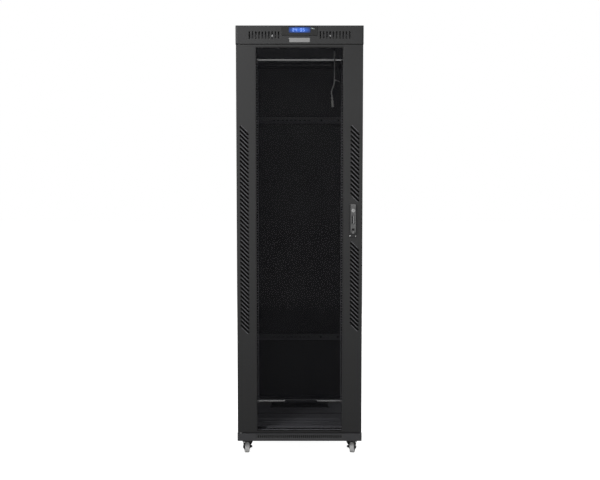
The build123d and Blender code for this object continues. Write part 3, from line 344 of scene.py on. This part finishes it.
def lit_display(name):
    """Blue backlight, brightest in its middle and fading towards its edges, behind a clear window."""
    s = Shader(name)
    low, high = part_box("lcd_screen")
    across = s.math("ABSOLUTE", s.remap(s.axis("X"), low.x, high.x, -1.0, 1.0))
    up = s.math("ABSOLUTE", s.remap(s.axis("Z"), low.z, high.z, -1.0, 1.0))
    across_fade = s.remap(s.math("POWER", across, 2.2), 0.0, 1.0, 1.0, 0.15)
    up_fade = s.remap(s.math("POWER", up, 1.4), 0.0, 1.0, 1.0, 0.08)
    grid = s.remap(s.voronoi(2600.0), 0.0, 0.5, 0.92, 1.05)
    glow = s.math("MULTIPLY", s.math("MULTIPLY", across_fade, up_fade), grid)
    s.set("Base Color", s.mix(glow, (0.002, 0.004, 0.02, 1.0), (0.01, 0.03, 0.12, 1.0)))
    s.set("Emission Color", s.mix(glow, (0.004, 0.012, 0.04, 1.0), (0.030, 0.14, 0.66, 1.0)))
    s.set("Emission Strength", 1.0)
    s.set("Roughness", 0.12)
    s.set("Specular IOR Level", 0.3)
    return s.material


def glowing_segment(name, colour, strength):
    """Pale segments of the display, uneven as liquid crystal is."""
    s = Shader(name)
    uneven = s.remap(s.noise(400.0, 2.0), 0.3, 0.7, 0.8, 1.0)
    tone = s.mix(uneven, (colour[0] * 0.7, colour[1] * 0.75, colour[2] * 0.85, 1.0), (*colour, 1.0))
    s.set("Base Color", tone)
    s.set("Emission Color", tone)
    s.set("Emission Strength", strength)
    s.set("Roughness", 0.3)
    return s.material


def cable_sheath(name, colour):
    """Flexible sheath with a soft gloss and slight scuffs."""
    s = Shader(name)
    scuff = s.remap(s.noise(120.0, 4.0), 0.45, 0.75, 0.0, 0.5)
    s.set("Base Color", s.mix(scuff, scaled(colour, 1.0), scaled(colour, 0.7)))
    s.set("Roughness", s.remap(s.noise(300.0, 2.0), 0.3, 0.7, 0.35, 0.5))
    s.set("Normal", s.bump(s.noise(900.0, 2.0), 0.12, 0.1 * MM))
    return s.material


# ======================= materials by slot =======================

materials = {
    "panel_paint": powder_coat("charcoal_powder_coat", 0.009, roughness=0.40, fold=2.5 * MM),
    "door_paint": powder_coat("door_powder_coat", 0.005, roughness=0.38),
    "frame_paint": powder_coat("frame_powder_coat", 0.10, roughness=0.5, wear=0.35),
    "rail_paint": powder_coat("rail_powder_coat", 0.55, roughness=0.4, grain=0.12, wear=0.8),
    "zinc": zinc_plate("bright_zinc"),
    "tempered_glass": tinted_glass("tinted_toughened_glass"),
    "seal_rubber": soft_rubber("glazing_rubber", 0.012),
    "black_plastic": moulded_plastic("black_moulding", (0.012, 0.012, 0.013), 0.5),
    "fan_wire": powder_coat("guard_coating", 0.03, roughness=0.4, grain=0.1),
    "bezel_plastic": moulded_plastic("bezel_moulding", (0.003, 0.003, 0.003), 0.6),
    "display": lit_display("display_backlight"),
    "badge_metal": brushed_metal("badge_plate", 0.26),
    "handle_metal": polished_metal("handle_satin", 0.15, 0.42),
    "chrome": polished_metal("lock_chrome", 0.32, 0.2),
    "wheel_rubber": soft_rubber("wheel_tread", 0.60, 0.45),
    "lead_sheath": cable_sheath("lead_sheath", (0.9, 0.9, 0.88)),
    "white_plastic": moulded_plastic("natural_nylon", (0.9, 0.9, 0.87), 0.3, 700.0, 0.12),
}

# nodes whose paint differs from the rest of their slot; some are lighter copies that are painted light, as marked
own_finish_and_painted_light = {
    "base_frame": powder_coat("base_powder_coat", 0.030, fold=4 * MM),
    "rear_door": powder_coat("rear_door_powder_coat", 0.035, fold=2.5 * MM),
    # painted light: the ceiling, braces and floor plates are the dark powder coat made many times lighter,
    # standing in for light inside the cabinet
    "ceiling_plate": powder_coat("ceiling_coat_painted_light", 0.36, roughness=0.5, wear=0.35),
    "cross_braces": powder_coat("brace_coat_painted_light", 0.16, roughness=0.5, wear=0.35),
    "floor_plates": powder_coat("floor_plate_coat_painted_light", 0.42, roughness=0.42, wear=0.35),
    "front_frame": powder_coat("front_frame_finish", 0.03, roughness=0.45, wear=0.35),
    "base_grille": moulded_plastic("grille_moulding", (0.045, 0.045, 0.046), 0.5),
    "handle_spindle": zinc_plate("spindle_zinc", 0.16, roughness=0.4),
}
for corner in CORNERS:
    own_finish_and_painted_light[f"caster_fork_{corner}"] = zinc_plate(f"fork_zinc_{corner}", 0.10, roughness=0.17)

# finishes used only by pieces made below; the lighter paints among them are painted highlights, as marked
foam = foam_with_painted_shade("foam_with_painted_shade")
# painted highlight: a near-white coat for the strips that stand in for the sill's edge highlights
sill_painted_highlight_coat = powder_coat("sill_painted_highlight_coat", 0.85, roughness=0.45, wear=0.35)
# painted highlight: lighter than the door's paint, for the lips along the glass edges
glass_lip_painted_highlight = powder_coat("glass_lip_painted_highlight", 0.02, roughness=0.35)
# painted highlight: the bead's paint is lighter than the base's, standing in for the highlight on the base's top
# edge
base_bead_painted_highlight = powder_coat("base_bead_painted_highlight", 0.045, roughness=0.35)
mirror_strip = polished_metal("mirror_strip", 0.9, 0.03)
# painted highlight: door paint made lighter so the lips between the slots show a sheen
louvre_lip_painted_sheen = powder_coat("louvre_lip_painted_sheen_coat", 0.08, roughness=0.35, grain=0.1, wear=0.9)


def dress(item, material):
    item.data.materials.clear()
    item.data.materials.append(material)


slot_of_node = {entry["node"]: entry["material_slot"] for entry in frame["record"]["subparts"]}
for node_name, node in frame["nodes"].items():
    dress(node, own_finish_and_painted_light.get(node_name, materials[slot_of_node[node_name]]))
dress(fan_lead, materials["lead_sheath"])

# ======================= pieces made here =======================


def new_piece(name, mesh, material, body, smooth=False):
    piece = bpy.data.objects.new(name, mesh)
    scene.collection.objects.link(piece)
    dress(piece, material)
    if smooth:
        for face in mesh.polygons:
            face.use_smooth = True
    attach(piece, body)
    return piece


def finished_mesh(name, bm):
    mesh = bpy.data.meshes.new(name)
    bm.to_mesh(mesh)
    bm.free()
    return mesh


def turned_outwards(bm):
    """The same mesh with every face's normal on its outside."""
    bmesh.ops.recalc_face_normals(bm, faces=bm.faces[:])
    return bm


def add_bar(bm, low, high):
    """A closed bar between two corners."""
    centre = (Vector(low) + Vector(high)) / 2
    size = Vector(high) - Vector(low)
    made = bmesh.ops.create_cube(bm, size=1.0)
    bmesh.ops.scale(bm, vec=size, verts=made["verts"])
    bmesh.ops.translate(bm, vec=centre, verts=made["verts"])


def bars_piece(name, bars, bevel, material, body):
    """One piece made of several bevelled bars, each given by its low and high corner."""
    bm = bmesh.new()
    for low, high in bars:
        add_bar(bm, low, high)
    bmesh.ops.bevel(bm, geom=bm.edges[:], offset=bevel, segments=2, affect="EDGES", profile=0.6)
    new_piece(name, finished_mesh(name, bm), material, body)


def close_loops(bm, lower, upper):
    """The band of faces between two loops that have the same number of points."""
    for index in range(len(lower)):
        following = (index + 1) % len(lower)
        bm.faces.new((lower[index], lower[following], upper[following], upper[index]))


# ---- display: four figures made of seven-segment strokes, and three touch marks beside it ----

SEGMENTS = {
    "2": "abged",
    "3": "abgcd",
    "4": "fgbc",
    "5": "afgcd",
}
FIGURE_WIDTH = 8.5 * MM
FIGURE_HEIGHT = 15 * MM
FIGURE_PITCH = 13 * MM
PAIR_GAP = 9 * MM
STROKE = 1.7 * MM
STROKE_GAP = 0.15 * MM
PRINT_HEIGHT = 0.15 * MM
PRINT_DEPTH = 0.1 * MM


def figure_bars(text, left, bottom, front):
    """Segment bars of one figure whose lower left corner is given, on the plane y = front."""
    half = FIGURE_HEIGHT / 2
    right, top = left + FIGURE_WIDTH, bottom + FIGURE_HEIGHT
    spans = {
        "a": (left, right, top - STROKE, top),
        "g": (left, right, bottom + half - STROKE / 2, bottom + half + STROKE / 2),
        "d": (left, right, bottom, bottom + STROKE),
        "f": (left, left + STROKE, bottom + half, top),
        "b": (right - STROKE, right, bottom + half, top),
        "e": (left, left + STROKE, bottom, bottom + half),
        "c": (right - STROKE, right, bottom, bottom + half),
    }
    bars = []
    for key in SEGMENTS[text]:
        x0, x1, z0, z1 = spans[key]
        bars.append(((x0 + STROKE_GAP, front - PRINT_HEIGHT, z0 + STROKE_GAP),
                     (x1 - STROKE_GAP, front + PRINT_DEPTH, z1 - STROKE_GAP)))
    return bars


def make_display_figures():
    low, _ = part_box("lcd_screen")
    bottom = low.z + 6 * MM
    left = low.x + 17 * MM
    bars = []
    for pair in ("24", "35"):
        for text in pair:
            bars += figure_bars(text, left, bottom, low.y)
            left += FIGURE_PITCH
        left += PAIR_GAP
    glow = glowing_segment("segment_glow", (0.24, 0.36, 0.72), 0.85)
    bars_piece("display_figures", bars, 0.04 * MM, glow, CABINET)


def make_touch_marks():
    """Three plain marks on the bezel beside the window, stepping down to the right."""
    _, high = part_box("lcd_screen")
    bezel_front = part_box("lcd_bezel")[0].y
    half_width = 1.8 * MM
    marks = []
    for step, height in ((0, 3.2), (6.2, 4.6), (12.4, 3.2)):
        x = high.x + (4.5 + step) * MM
        z = high.z - (6 + 0.25 * step) * MM
        marks.append(((x - half_width, bezel_front - PRINT_HEIGHT, z - height / 2 * MM),
                      (x + half_width, bezel_front + PRINT_DEPTH, z + height / 2 * MM)))
    glow = glowing_segment("mark_print", (0.30, 0.36, 0.36), 0.5)
    bars_piece("touch_marks", marks, 0.04 * MM, glow, CABINET)


make_display_figures()
make_touch_marks()

# ---- polished strips, one under the ceiling in front of the rear frame and two low at the back ----

STRIP_BOW = 6 * MM
STRIP_THICKNESS = 1.2 * MM
STRIP_STEPS = 12


def bowed_strip(bm, x_range, half, edge_y, edge_z, height, tilt):
    """A thin strip along X, leaning back by tilt radians, its ends bowed towards the front."""
    along = Vector((0, math.sin(tilt), math.cos(tilt))) * height
    through = Vector((0, math.cos(tilt), -math.sin(tilt))) * STRIP_THICKNESS
    rings = []
    for step in range(STRIP_STEPS + 1):
        x = x_range[0] + (x_range[1] - x_range[0]) * step / STRIP_STEPS
        start = Vector((x, edge_y - STRIP_BOW * (x / half) ** 2, edge_z))
        ring = [start, start + along, start + along + through, start + through]
        rings.append([bm.verts.new(point) for point in ring])
    bm.faces.new(rings[0][::-1])
    bm.faces.new(rings[-1])
    for ring, next_ring in zip(rings, rings[1:]):
        close_loops(bm, ring, next_ring)


def make_light_strips():
    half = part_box("rear_rail_right")[1].x
    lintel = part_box("ceiling_plate")[0].z
    rear_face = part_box("rear_frame")[0].y
    upper = ("upper", [(-half, half)], rear_face - 3 * MM, lintel - 2.8 * MM, 9.5 * MM, -0.136)
    lower = ("lower", [(-0.236, -0.082), (0.095, 0.236)], 0.276, FLOOR_TOP + 0.4 * MM, 7 * MM, 0.245)
    for name, spans, edge_y, edge_z, height, tilt in (upper, lower):
        bm = bmesh.new()
        for span in spans:
            bowed_strip(bm, span, half, edge_y, edge_z, height, tilt)
        mesh = finished_mesh(f"bright_strip_{name}", turned_outwards(bm))
        new_piece(f"bright_strip_{name}", mesh, mirror_strip, CABINET)


make_light_strips()

# ---- black foam: behind the door's slots and the base grille, where it also stands in for the shade inside them (painted shade), and along the top of the rear door ----

# rows of slots in the front door, each given as its middle X, its top slot, spacing and count
SLOT_X = 0.261
SLOT_ROWS = [
    (-SLOT_X, 1.563, 0.0200, 48),
    (SLOT_X, 1.563, 0.0207, 16),
    (SLOT_X, 1.016, 0.0200, 20),
]
PAD_HALF_WIDTH = 25 * MM
PAD_THICKNESS = 5 * MM
PAD_OVERLAP = 26 * MM
PAD_ROUNDING = 1 * MM


def make_foam():
    sheet_back = FRONT_FACE_Y + 1.7 * MM
    pads = []
    for x, top, spacing, count in SLOT_ROWS:
        bottom = top - (count - 1) * spacing
        pads.append(((x - PAD_HALF_WIDTH, sheet_back, bottom - PAD_OVERLAP),
                     (x + PAD_HALF_WIDTH, sheet_back + PAD_THICKNESS, top + PAD_OVERLAP)))
    bars_piece("slot_foam_painted_shade", pads, PAD_ROUNDING, foam, DOOR)
    low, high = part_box("base_grille")
    pad = [((low.x + 2 * MM, high.y + 0.2 * MM, low.z + 1 * MM),
            (high.x - 2 * MM, high.y + 6 * MM, high.z - 1 * MM))]
    bars_piece("grille_foam_painted_shade", pad, PAD_ROUNDING, foam, CABINET)
    low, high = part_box("rear_door")
    strip = [((low.x + 8 * MM, low.y - 6.5 * MM, high.z - 17 * MM),
              (high.x - 8 * MM, low.y - 0.3 * MM, high.z + 2.4 * MM))]
    bars_piece("rear_door_gasket", strip, PAD_ROUNDING, foam, "rear_door_body")


make_foam()

# ---- raised lips between the slots of the door, painted lighter than the door as a painted sheen ----

LIP_LENGTH = 43 * MM
LIP_WIDTH = 3.4 * MM
LIP_HEIGHT = 0.9 * MM
LIP_SUNK = 0.2 * MM
CREST_LENGTH = 0.94
CREST_WIDTH = 0.45


def add_lip(bm, x, z):
    """A low ridge that runs down to the right at 45 degrees on the door's face."""
    along = Vector((1, 0, -1)).normalized() * LIP_LENGTH / 2
    across = Vector((1, 0, 1)).normalized() * LIP_WIDTH / 2
    middle = Vector((x, FRONT_FACE_Y, z))
    loops = []
    for length, width, depth in ((1.0, 1.0, LIP_SUNK), (CREST_LENGTH, CREST_WIDTH, -LIP_HEIGHT)):
        loop = []
        for end, edge in ((1, 1), (1, -1), (-1, -1), (-1, 1)):
            point = middle + along * end * length + across * edge * width + Vector((0, depth, 0))
            loop.append(bm.verts.new(point))
        loops.append(loop)
    lower, upper = loops
    bm.faces.new(lower)
    bm.faces.new(upper[::-1])
    close_loops(bm, lower, upper)


def make_slot_lips():
    bm = bmesh.new()
    for x, top, spacing, count in SLOT_ROWS:
        for index in range(count + 1):
            add_lip(bm, x, top - (index - 0.5) * spacing)
    new_piece("slot_lips", finished_mesh("slot_lips", turned_outwards(bm)), louvre_lip_painted_sheen, DOOR)


make_slot_lips()

# ---- brushes, flaps and clamps at the cable entry in the floor, and the seam of the floor plates ----

ENTRY_Y = 0.180
ENTRY_HALF_X = 0.152
ENTRY_HALF_Y = 0.052
BRISTLE_PITCH = 2.4 * MM
BRISTLE_THICKNESS = 0.75 * MM
BRISTLE_LAYERS = 4
FLAP_THICKNESS = 0.6 * MM
CLAMP_HEIGHT = 4.5 * MM
SEAM_HALF_X = 0.249


def add_bristle(bm, root, tip, thickness):
    """A three-sided tapered bristle."""
    along = (tip - root).normalized()
    side = along.cross(Vector((0, 0, 1))).normalized() * thickness
    lift = Vector((0, 0, thickness))
    ring = [bm.verts.new(root + side), bm.verts.new(root - side), bm.verts.new(root + lift)]
    point = bm.verts.new(tip)
    bm.faces.new(ring[::-1])
    for index in range(3):
        bm.faces.new((ring[index], ring[(index + 1) % 3], point))


def make_entry_brushes():
    chance = random.Random(11)
    count = int(2 * ENTRY_HALF_X / BRISTLE_PITCH)
    bm = bmesh.new()
    for side in (-1, 1):
        for layer in range(BRISTLE_LAYERS):
            z = FLOOR_TOP + (1.2 + 0.7 * layer) * MM
            for index in range(count):
                x = -ENTRY_HALF_X + (index + 0.25 * layer + chance.uniform(-0.2, 0.2)) * BRISTLE_PITCH
                reach = ENTRY_HALF_Y + chance.uniform(-4, 9) * MM
                root = Vector((x, ENTRY_Y + side * ENTRY_HALF_Y, z))
                tip = Vector((x + chance.uniform(-3, 3) * MM, ENTRY_Y + side * (ENTRY_HALF_Y - reach),
                              z + chance.uniform(-1.5, 0.8) * MM))
                add_bristle(bm, root, tip, BRISTLE_THICKNESS)
    mesh = finished_mesh("entry_bristles", turned_outwards(bm))
    new_piece("entry_bristles", mesh, materials["seal_rubber"], CABINET)


def make_entry_flaps():
    """Two rubber flaps that overlap under the bristles."""
    flaps = []
    for side in (-1, 1):
        y = sorted((ENTRY_Y - side * 1 * MM, ENTRY_Y + side * (ENTRY_HALF_Y + 3 * MM)))
        level = FLOOR_TOP + (0.4 + 0.35 * side) * MM
        flaps.append(((-ENTRY_HALF_X - 2 * MM, y[0], level),
                      (ENTRY_HALF_X + 2 * MM, y[1], level + FLAP_THICKNESS)))
    bars_piece("entry_flaps", flaps, 0.15 * MM, materials["seal_rubber"], CABINET)


def make_floor_seam():
    """A T-shaped rubber in the gap between the two floor plates."""
    stem = ((-SEAM_HALF_X, -4.6 * MM, FLOOR_TOP - 2.4 * MM), (SEAM_HALF_X, 6.6 * MM, FLOOR_TOP + 0.6 * MM))
    flange = ((-SEAM_HALF_X, -6 * MM, FLOOR_TOP - 4.5 * MM), (SEAM_HALF_X, 8 * MM, FLOOR_TOP - 2.2 * MM))
    bars_piece("floor_seam_rubber", [flange, stem], 0.3 * MM, materials["seal_rubber"], CABINET)


def make_brush_clamps():
    clamps = []
    for side in (-1, 1):
        y = sorted((ENTRY_Y + side * (ENTRY_HALF_Y - 2 * MM), ENTRY_Y + side * (ENTRY_HALF_Y + 12 * MM)))
        clamps.append(((-ENTRY_HALF_X - 8 * MM, y[0], FLOOR_TOP + 0.05 * MM),
                       (ENTRY_HALF_X + 8 * MM, y[1], FLOOR_TOP + CLAMP_HEIGHT)))
    bars_piece("brush_clamps", clamps, 0.8 * MM, materials["frame_paint"], CABINET)


make_entry_brushes()
make_entry_flaps()
make_floor_seam()
make_brush_clamps()

# ---- round-headed bolts and small fixings ----


HEAD_RINGS = 5
HEAD_SIDES = 20


def add_ring(bm, centre, turn, radius, along, sides):
    """A loop of points round an axle: turn is the matrix that takes +Z onto the axle."""
    loop = []
    for side in range(sides):
        angle = side / sides * 2 * math.pi
        place = Vector((radius * math.cos(angle), radius * math.sin(angle), along))
        loop.append(bm.verts.new(centre + turn @ place))
    return loop


def turn_onto(axle):
    return Vector((0, 0, 1)).rotation_difference(Vector(axle)).to_matrix()


def add_round_head(bm, centre, normal, radius, height):
    """A domed head with a flat underside, standing on a surface."""
    turn = turn_onto(normal)
    centre = Vector(centre)
    loops = []
    for ring in range(HEAD_RINGS):
        swing = ring / HEAD_RINGS * math.pi / 2
        reach, lift = radius * math.cos(swing), height * math.sin(swing)
        loops.append(add_ring(bm, centre, turn, reach, lift, HEAD_SIDES))
    crown = bm.verts.new(centre + turn @ Vector((0, 0, height)))
    bm.faces.new(loops[0][::-1])
    for lower, upper in zip(loops, loops[1:]):
        close_loops(bm, lower, upper)
    for side in range(HEAD_SIDES):
        bm.faces.new((loops[-1][side], loops[-1][(side + 1) % HEAD_SIDES], crown))


def heads_piece(name, heads, material, body):
    """One piece made of several round heads, each (centre, normal, radius, height)."""
    bm = bmesh.new()
    for head in heads:
        add_round_head(bm, *head)
    new_piece(name, finished_mesh(name, bm), material, body, smooth=True)


TO_FRONT = (0, -1, 0)
UP = (0, 0, 1)
SILL_BOLT_X = 0.128
FRAME_BOLT_X = 0.262
FRAME_BOLT_LEVELS = (0.30, 0.90, 1.50, 1.90)
RAIL_BOLT_X = 0.245
RAIL_BOLT_LEVELS = (0.135, 0.76, 1.38, 1.965)


def make_frame_bolts():
    frame_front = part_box("front_frame")[0].y
    rail_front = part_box("front_rail_right")[0].y
    heads = []
    for x in (-SILL_BOLT_X, SILL_BOLT_X):
        heads.append(((x, frame_front + 22 * MM, SILL_TOP), UP, 5 * MM, 3 * MM))
    for x in (-FRAME_BOLT_X, FRAME_BOLT_X):
        for z in FRAME_BOLT_LEVELS:
            heads.append(((x, frame_front, z), TO_FRONT, 5 * MM, 2.6 * MM))
    for x in (-RAIL_BOLT_X, RAIL_BOLT_X):
        for z in RAIL_BOLT_LEVELS:
            heads.append(((x, rail_front, z), TO_FRONT, 4.5 * MM, 2.4 * MM))
    heads_piece("frame_bolt_heads", heads, materials["zinc"], CABINET)


def make_plate_screws():
    low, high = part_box("handle_plate")
    screws = [((low.x + 4.5 * MM, low.y, low.z + 7 * MM), TO_FRONT, 3 * MM, 1.6 * MM),
              ((high.x - 5 * MM, low.y, low.z + 5.5 * MM), TO_FRONT, 2.6 * MM, 1.2 * MM)]
    heads_piece("plate_screws", screws, materials["zinc"], DOOR)


make_frame_bolts()
make_plate_screws()

# ---- handle inlay in the lever's finger recess: a near-black well liner that stands in for the shade in the recess (painted shade), and a bright blade ----


def make_handle_inlay():
    low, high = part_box("handle_lever")
    middle = (low.x + high.x) / 2
    well_front = low.y + 3.9 * MM
    bottom, top = low.z + 47 * MM, low.z + 83 * MM
    # painted shade: a near-black liner laid in the well
    liner = [((middle - 6.8 * MM, well_front - 0.3 * MM, bottom), (middle + 6.8 * MM, well_front, top))]
    bars_piece("handle_well_painted_shade", liner, 0.1 * MM, materials["black_plastic"],
               "handle_lever_body")
    blade = [((middle + 0.6 * MM, low.y + 0.9 * MM, bottom - 1 * MM),
              (middle + 4.4 * MM, well_front, top + 1 * MM))]
    bars_piece("handle_blade", blade, 0.9 * MM, materials["chrome"], "handle_lever_body")


make_handle_inlay()

# ---- ridges on the front floor plate; a bead on the base, strips on the sill and lips along the glass, each painted lighter as a painted highlight on its edge ----

# each ridge given as its left end, right end and distance behind the floor's front edge
RIDGES = [
    (-0.215, 0.215, 0.070),
    (-0.100, 0.060, 0.095),
    (-0.215, 0.215, 0.120),
    (-0.190, 0.150, 0.150),
    (-0.205, 0.205, 0.185),
    (-0.215, 0.200, 0.215),
]
RIDGE_WIDTH = 3 * MM
RIDGE_HEIGHT = 1.6 * MM


def make_floor_ridges():
    floor_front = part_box("floor_plates")[0].y
    bars = []
    for left, right, gap in RIDGES:
        y = floor_front + gap
        bars.append(((left, y, FLOOR_TOP - 0.2 * MM), (right, y + RIDGE_WIDTH, FLOOR_TOP + RIDGE_HEIGHT)))
    # the ridges take the floor plates' lighter paint, which is painted light
    bars_piece("floor_ridges", bars, 0.7 * MM, own_finish_and_painted_light["floor_plates"], CABINET)


# the lips are painted lighter than the door: a painted highlight along both glass edges
def make_glass_lips():
    low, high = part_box("glass_seal")
    bars = []
    for side in (-1, 1):
        edge = low.x if side < 0 else high.x
        x = sorted((edge + side * 0.2 * MM, edge - side * 1.8 * MM))
        bars.append(((x[0], FRONT_FACE_Y + 0.6 * MM, low.z), (x[1], FRONT_FACE_Y + 3.6 * MM, high.z)))
    bars_piece("glass_lips", bars, 0.5 * MM, glass_lip_painted_highlight, DOOR)


def make_sill_painted_highlights():
    """Light strips on top of the front sill and along its front face: painted highlights on the sill's edges."""
    low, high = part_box("front_frame")
    on_top = ((-0.160, high.y - 12 * MM, SILL_TOP - 0.5 * MM),
              (0.205, high.y - 0.2 * MM, SILL_TOP + 1.6 * MM))
    in_front = ((-0.225, low.y - 0.8 * MM, SILL_TOP - 4.5 * MM),
                (0.225, low.y + 0.5 * MM, SILL_TOP - 0.6 * MM))
    bars_piece("sill_painted_highlights", [on_top, in_front], 0.3 * MM, sill_painted_highlight_coat, CABINET)


def make_base_bead():
    """A rounded bead along the top edge of the base's front face, painted lighter than the base as a painted
    highlight on that edge.
    """
    low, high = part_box("base_frame")
    bead = [((low.x + 8 * MM, low.y - 0.8 * MM, high.z - 2.6 * MM),
             (high.x - 8 * MM, low.y + 2 * MM, high.z + 0.6 * MM))]
    bars_piece("base_bead", bead, 0.8 * MM, base_bead_painted_highlight, CABINET)


make_floor_ridges()
make_base_bead()
make_sill_painted_highlights()
make_glass_lips()

# ---- tick marks between the units on the front rails ----


RACK_UNITS = 42
TICK_START = 16 * MM
TICK_END = 22 * MM
LONG_TICK_END = 28 * MM
TICK_HALF_HEIGHT = 0.4 * MM


def make_unit_ticks():
    for side in ("left", "right"):
        low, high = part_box(f"front_rail_{side}")
        outward = 1 if side == "right" else -1
        edge = low.x if side == "right" else high.x
        unit = (high.z - low.z) / RACK_UNITS
        bars = []
        for count in range(1, RACK_UNITS):
            end = LONG_TICK_END if count % 5 == 0 else TICK_END
            left, right = sorted((edge + outward * TICK_START, edge + outward * end))
            z = low.z + count * unit
            bars.append(((left, low.y - 0.12 * MM, z - TICK_HALF_HEIGHT),
                         (right, low.y + 0.05 * MM, z + TICK_HALF_HEIGHT)))
        bars_piece(f"unit_ticks_{side}", bars, 0.03 * MM, materials["white_plastic"], CABINET)


make_unit_ticks()

# ---- wheel hubs ----


HUB_SIDES = 32
# a ring that lies in the wheel's side recess, with a raised lip: radius, distance along the axle
HUB_PROFILE = [
    (9.5 * MM, 8.1 * MM),
    (9.5 * MM, 10.2 * MM),
    (12 * MM, 10.2 * MM),
    (13 * MM, 9.2 * MM),
    (18.2 * MM, 9.0 * MM),
    (19.2 * MM, 9.9 * MM),
    (19.8 * MM, 9.9 * MM),
    (19.8 * MM, 8.1 * MM),
]


def add_hub(bm, centre, axle):
    turn = turn_onto(axle)
    loops = [add_ring(bm, centre, turn, radius, along, HUB_SIDES) for radius, along in HUB_PROFILE]
    for lower, upper in zip(loops, loops[1:] + loops[:1]):
        close_loops(bm, lower, upper)


def make_wheel_hubs():
    axles = {joint["name"]: Vector(joint["axis"]).normalized() for joint in frame["joints"]}
    for corner in CORNERS:
        low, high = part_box(f"caster_wheel_{corner}")
        bm = bmesh.new()
        for side in (-1, 1):
            add_hub(bm, (low + high) / 2, axles[f"roll_{corner}"] * side)
        name = f"wheel_hub_{corner}"
        mesh = finished_mesh(name, turned_outwards(bm))
        new_piece(name, mesh, materials["black_plastic"], f"wheel_{corner}")


make_wheel_hubs()

# ======================= floor and studio light =======================


FLOOR_GLOW = 0.96


def make_floor():
    """A pale floor that meets the white backdrop without a horizon."""
    bpy.ops.mesh.primitive_plane_add(size=60, location=(0, 0, 0))
    floor = bpy.context.object
    floor.name = "studio_floor"
    s = Shader("pale_floor")
    s.set("Base Color", s.mix(s.noise(2.0, 4.0), grey(0.43), grey(0.47)))
    s.set("Roughness", s.remap(s.noise(6.0, 3.0), 0.3, 0.7, 0.75, 0.9))
    s.set("Specular IOR Level", 0.1)
    s.set("Emission Color", (1.0, 1.0, 1.0, 1.0))
    camera_ray = s.node("ShaderNodeLightPath").outputs["Is Camera Ray"]
    s.set("Emission Strength", s.math("MULTIPLY", camera_ray, FLOOR_GLOW))
    dress(floor, s.material)


make_floor()


def area_light(name, place, aim, size, power):
    data = bpy.data.lights.new(name, "AREA")
    data.shape = "RECTANGLE"
    data.size = size[0]
    data.size_y = size[1]
    data.energy = power
    lamp = bpy.data.objects.new(name, data)
    lamp.location = place
    lamp.rotation_euler = (Vector(aim) - Vector(place)).to_track_quat("-Z", "Y").to_euler()
    lamp.visible_camera = False
    scene.collection.objects.link(lamp)


def make_studio():
    world = bpy.data.worlds.new("studio")
    scene.world = world
    world.use_nodes = True
    nodes, links = world.node_tree.nodes, world.node_tree.links
    background = nodes["Background"]
    background.inputs["Color"].default_value = (1.0, 1.0, 1.0, 1.0)
    rays = nodes.new("ShaderNodeLightPath")
    strength = nodes.new("ShaderNodeMapRange")
    strength.inputs["To Min"].default_value = 0.10
    strength.inputs["To Max"].default_value = 1.0
    links.new(rays.outputs["Is Camera Ray"], strength.inputs["Value"])
    links.new(strength.outputs["Result"], background.inputs["Strength"])
    area_light("front_wall", (0, -5.2, 1.85), (0, 0, 1.85), (6.0, 3.5), 76)
    area_light("key", (-2.4, -4.2, 3.4), (0, -0.4, 1.2), (1.4, 1.4), 110)
    area_light("overhead", (0, -0.6, 4.6), (0, -0.2, 0), (4.0, 4.0), 80)
    area_light("right_side", (4.0, 0.5, 2.0), (0, 0.2, 1.1), (2.4, 2.4), 60)
    area_light("left_side", (-4.0, 1.0, 2.0), (0, 0.2, 1.1), (2.4, 2.4), 60)
    area_light("rear", (1.0, 4.5, 2.6), (0, 0.3, 1.2), (3.0, 2.6), 120)


make_studio()
scene.view_settings.view_transform = "Standard"
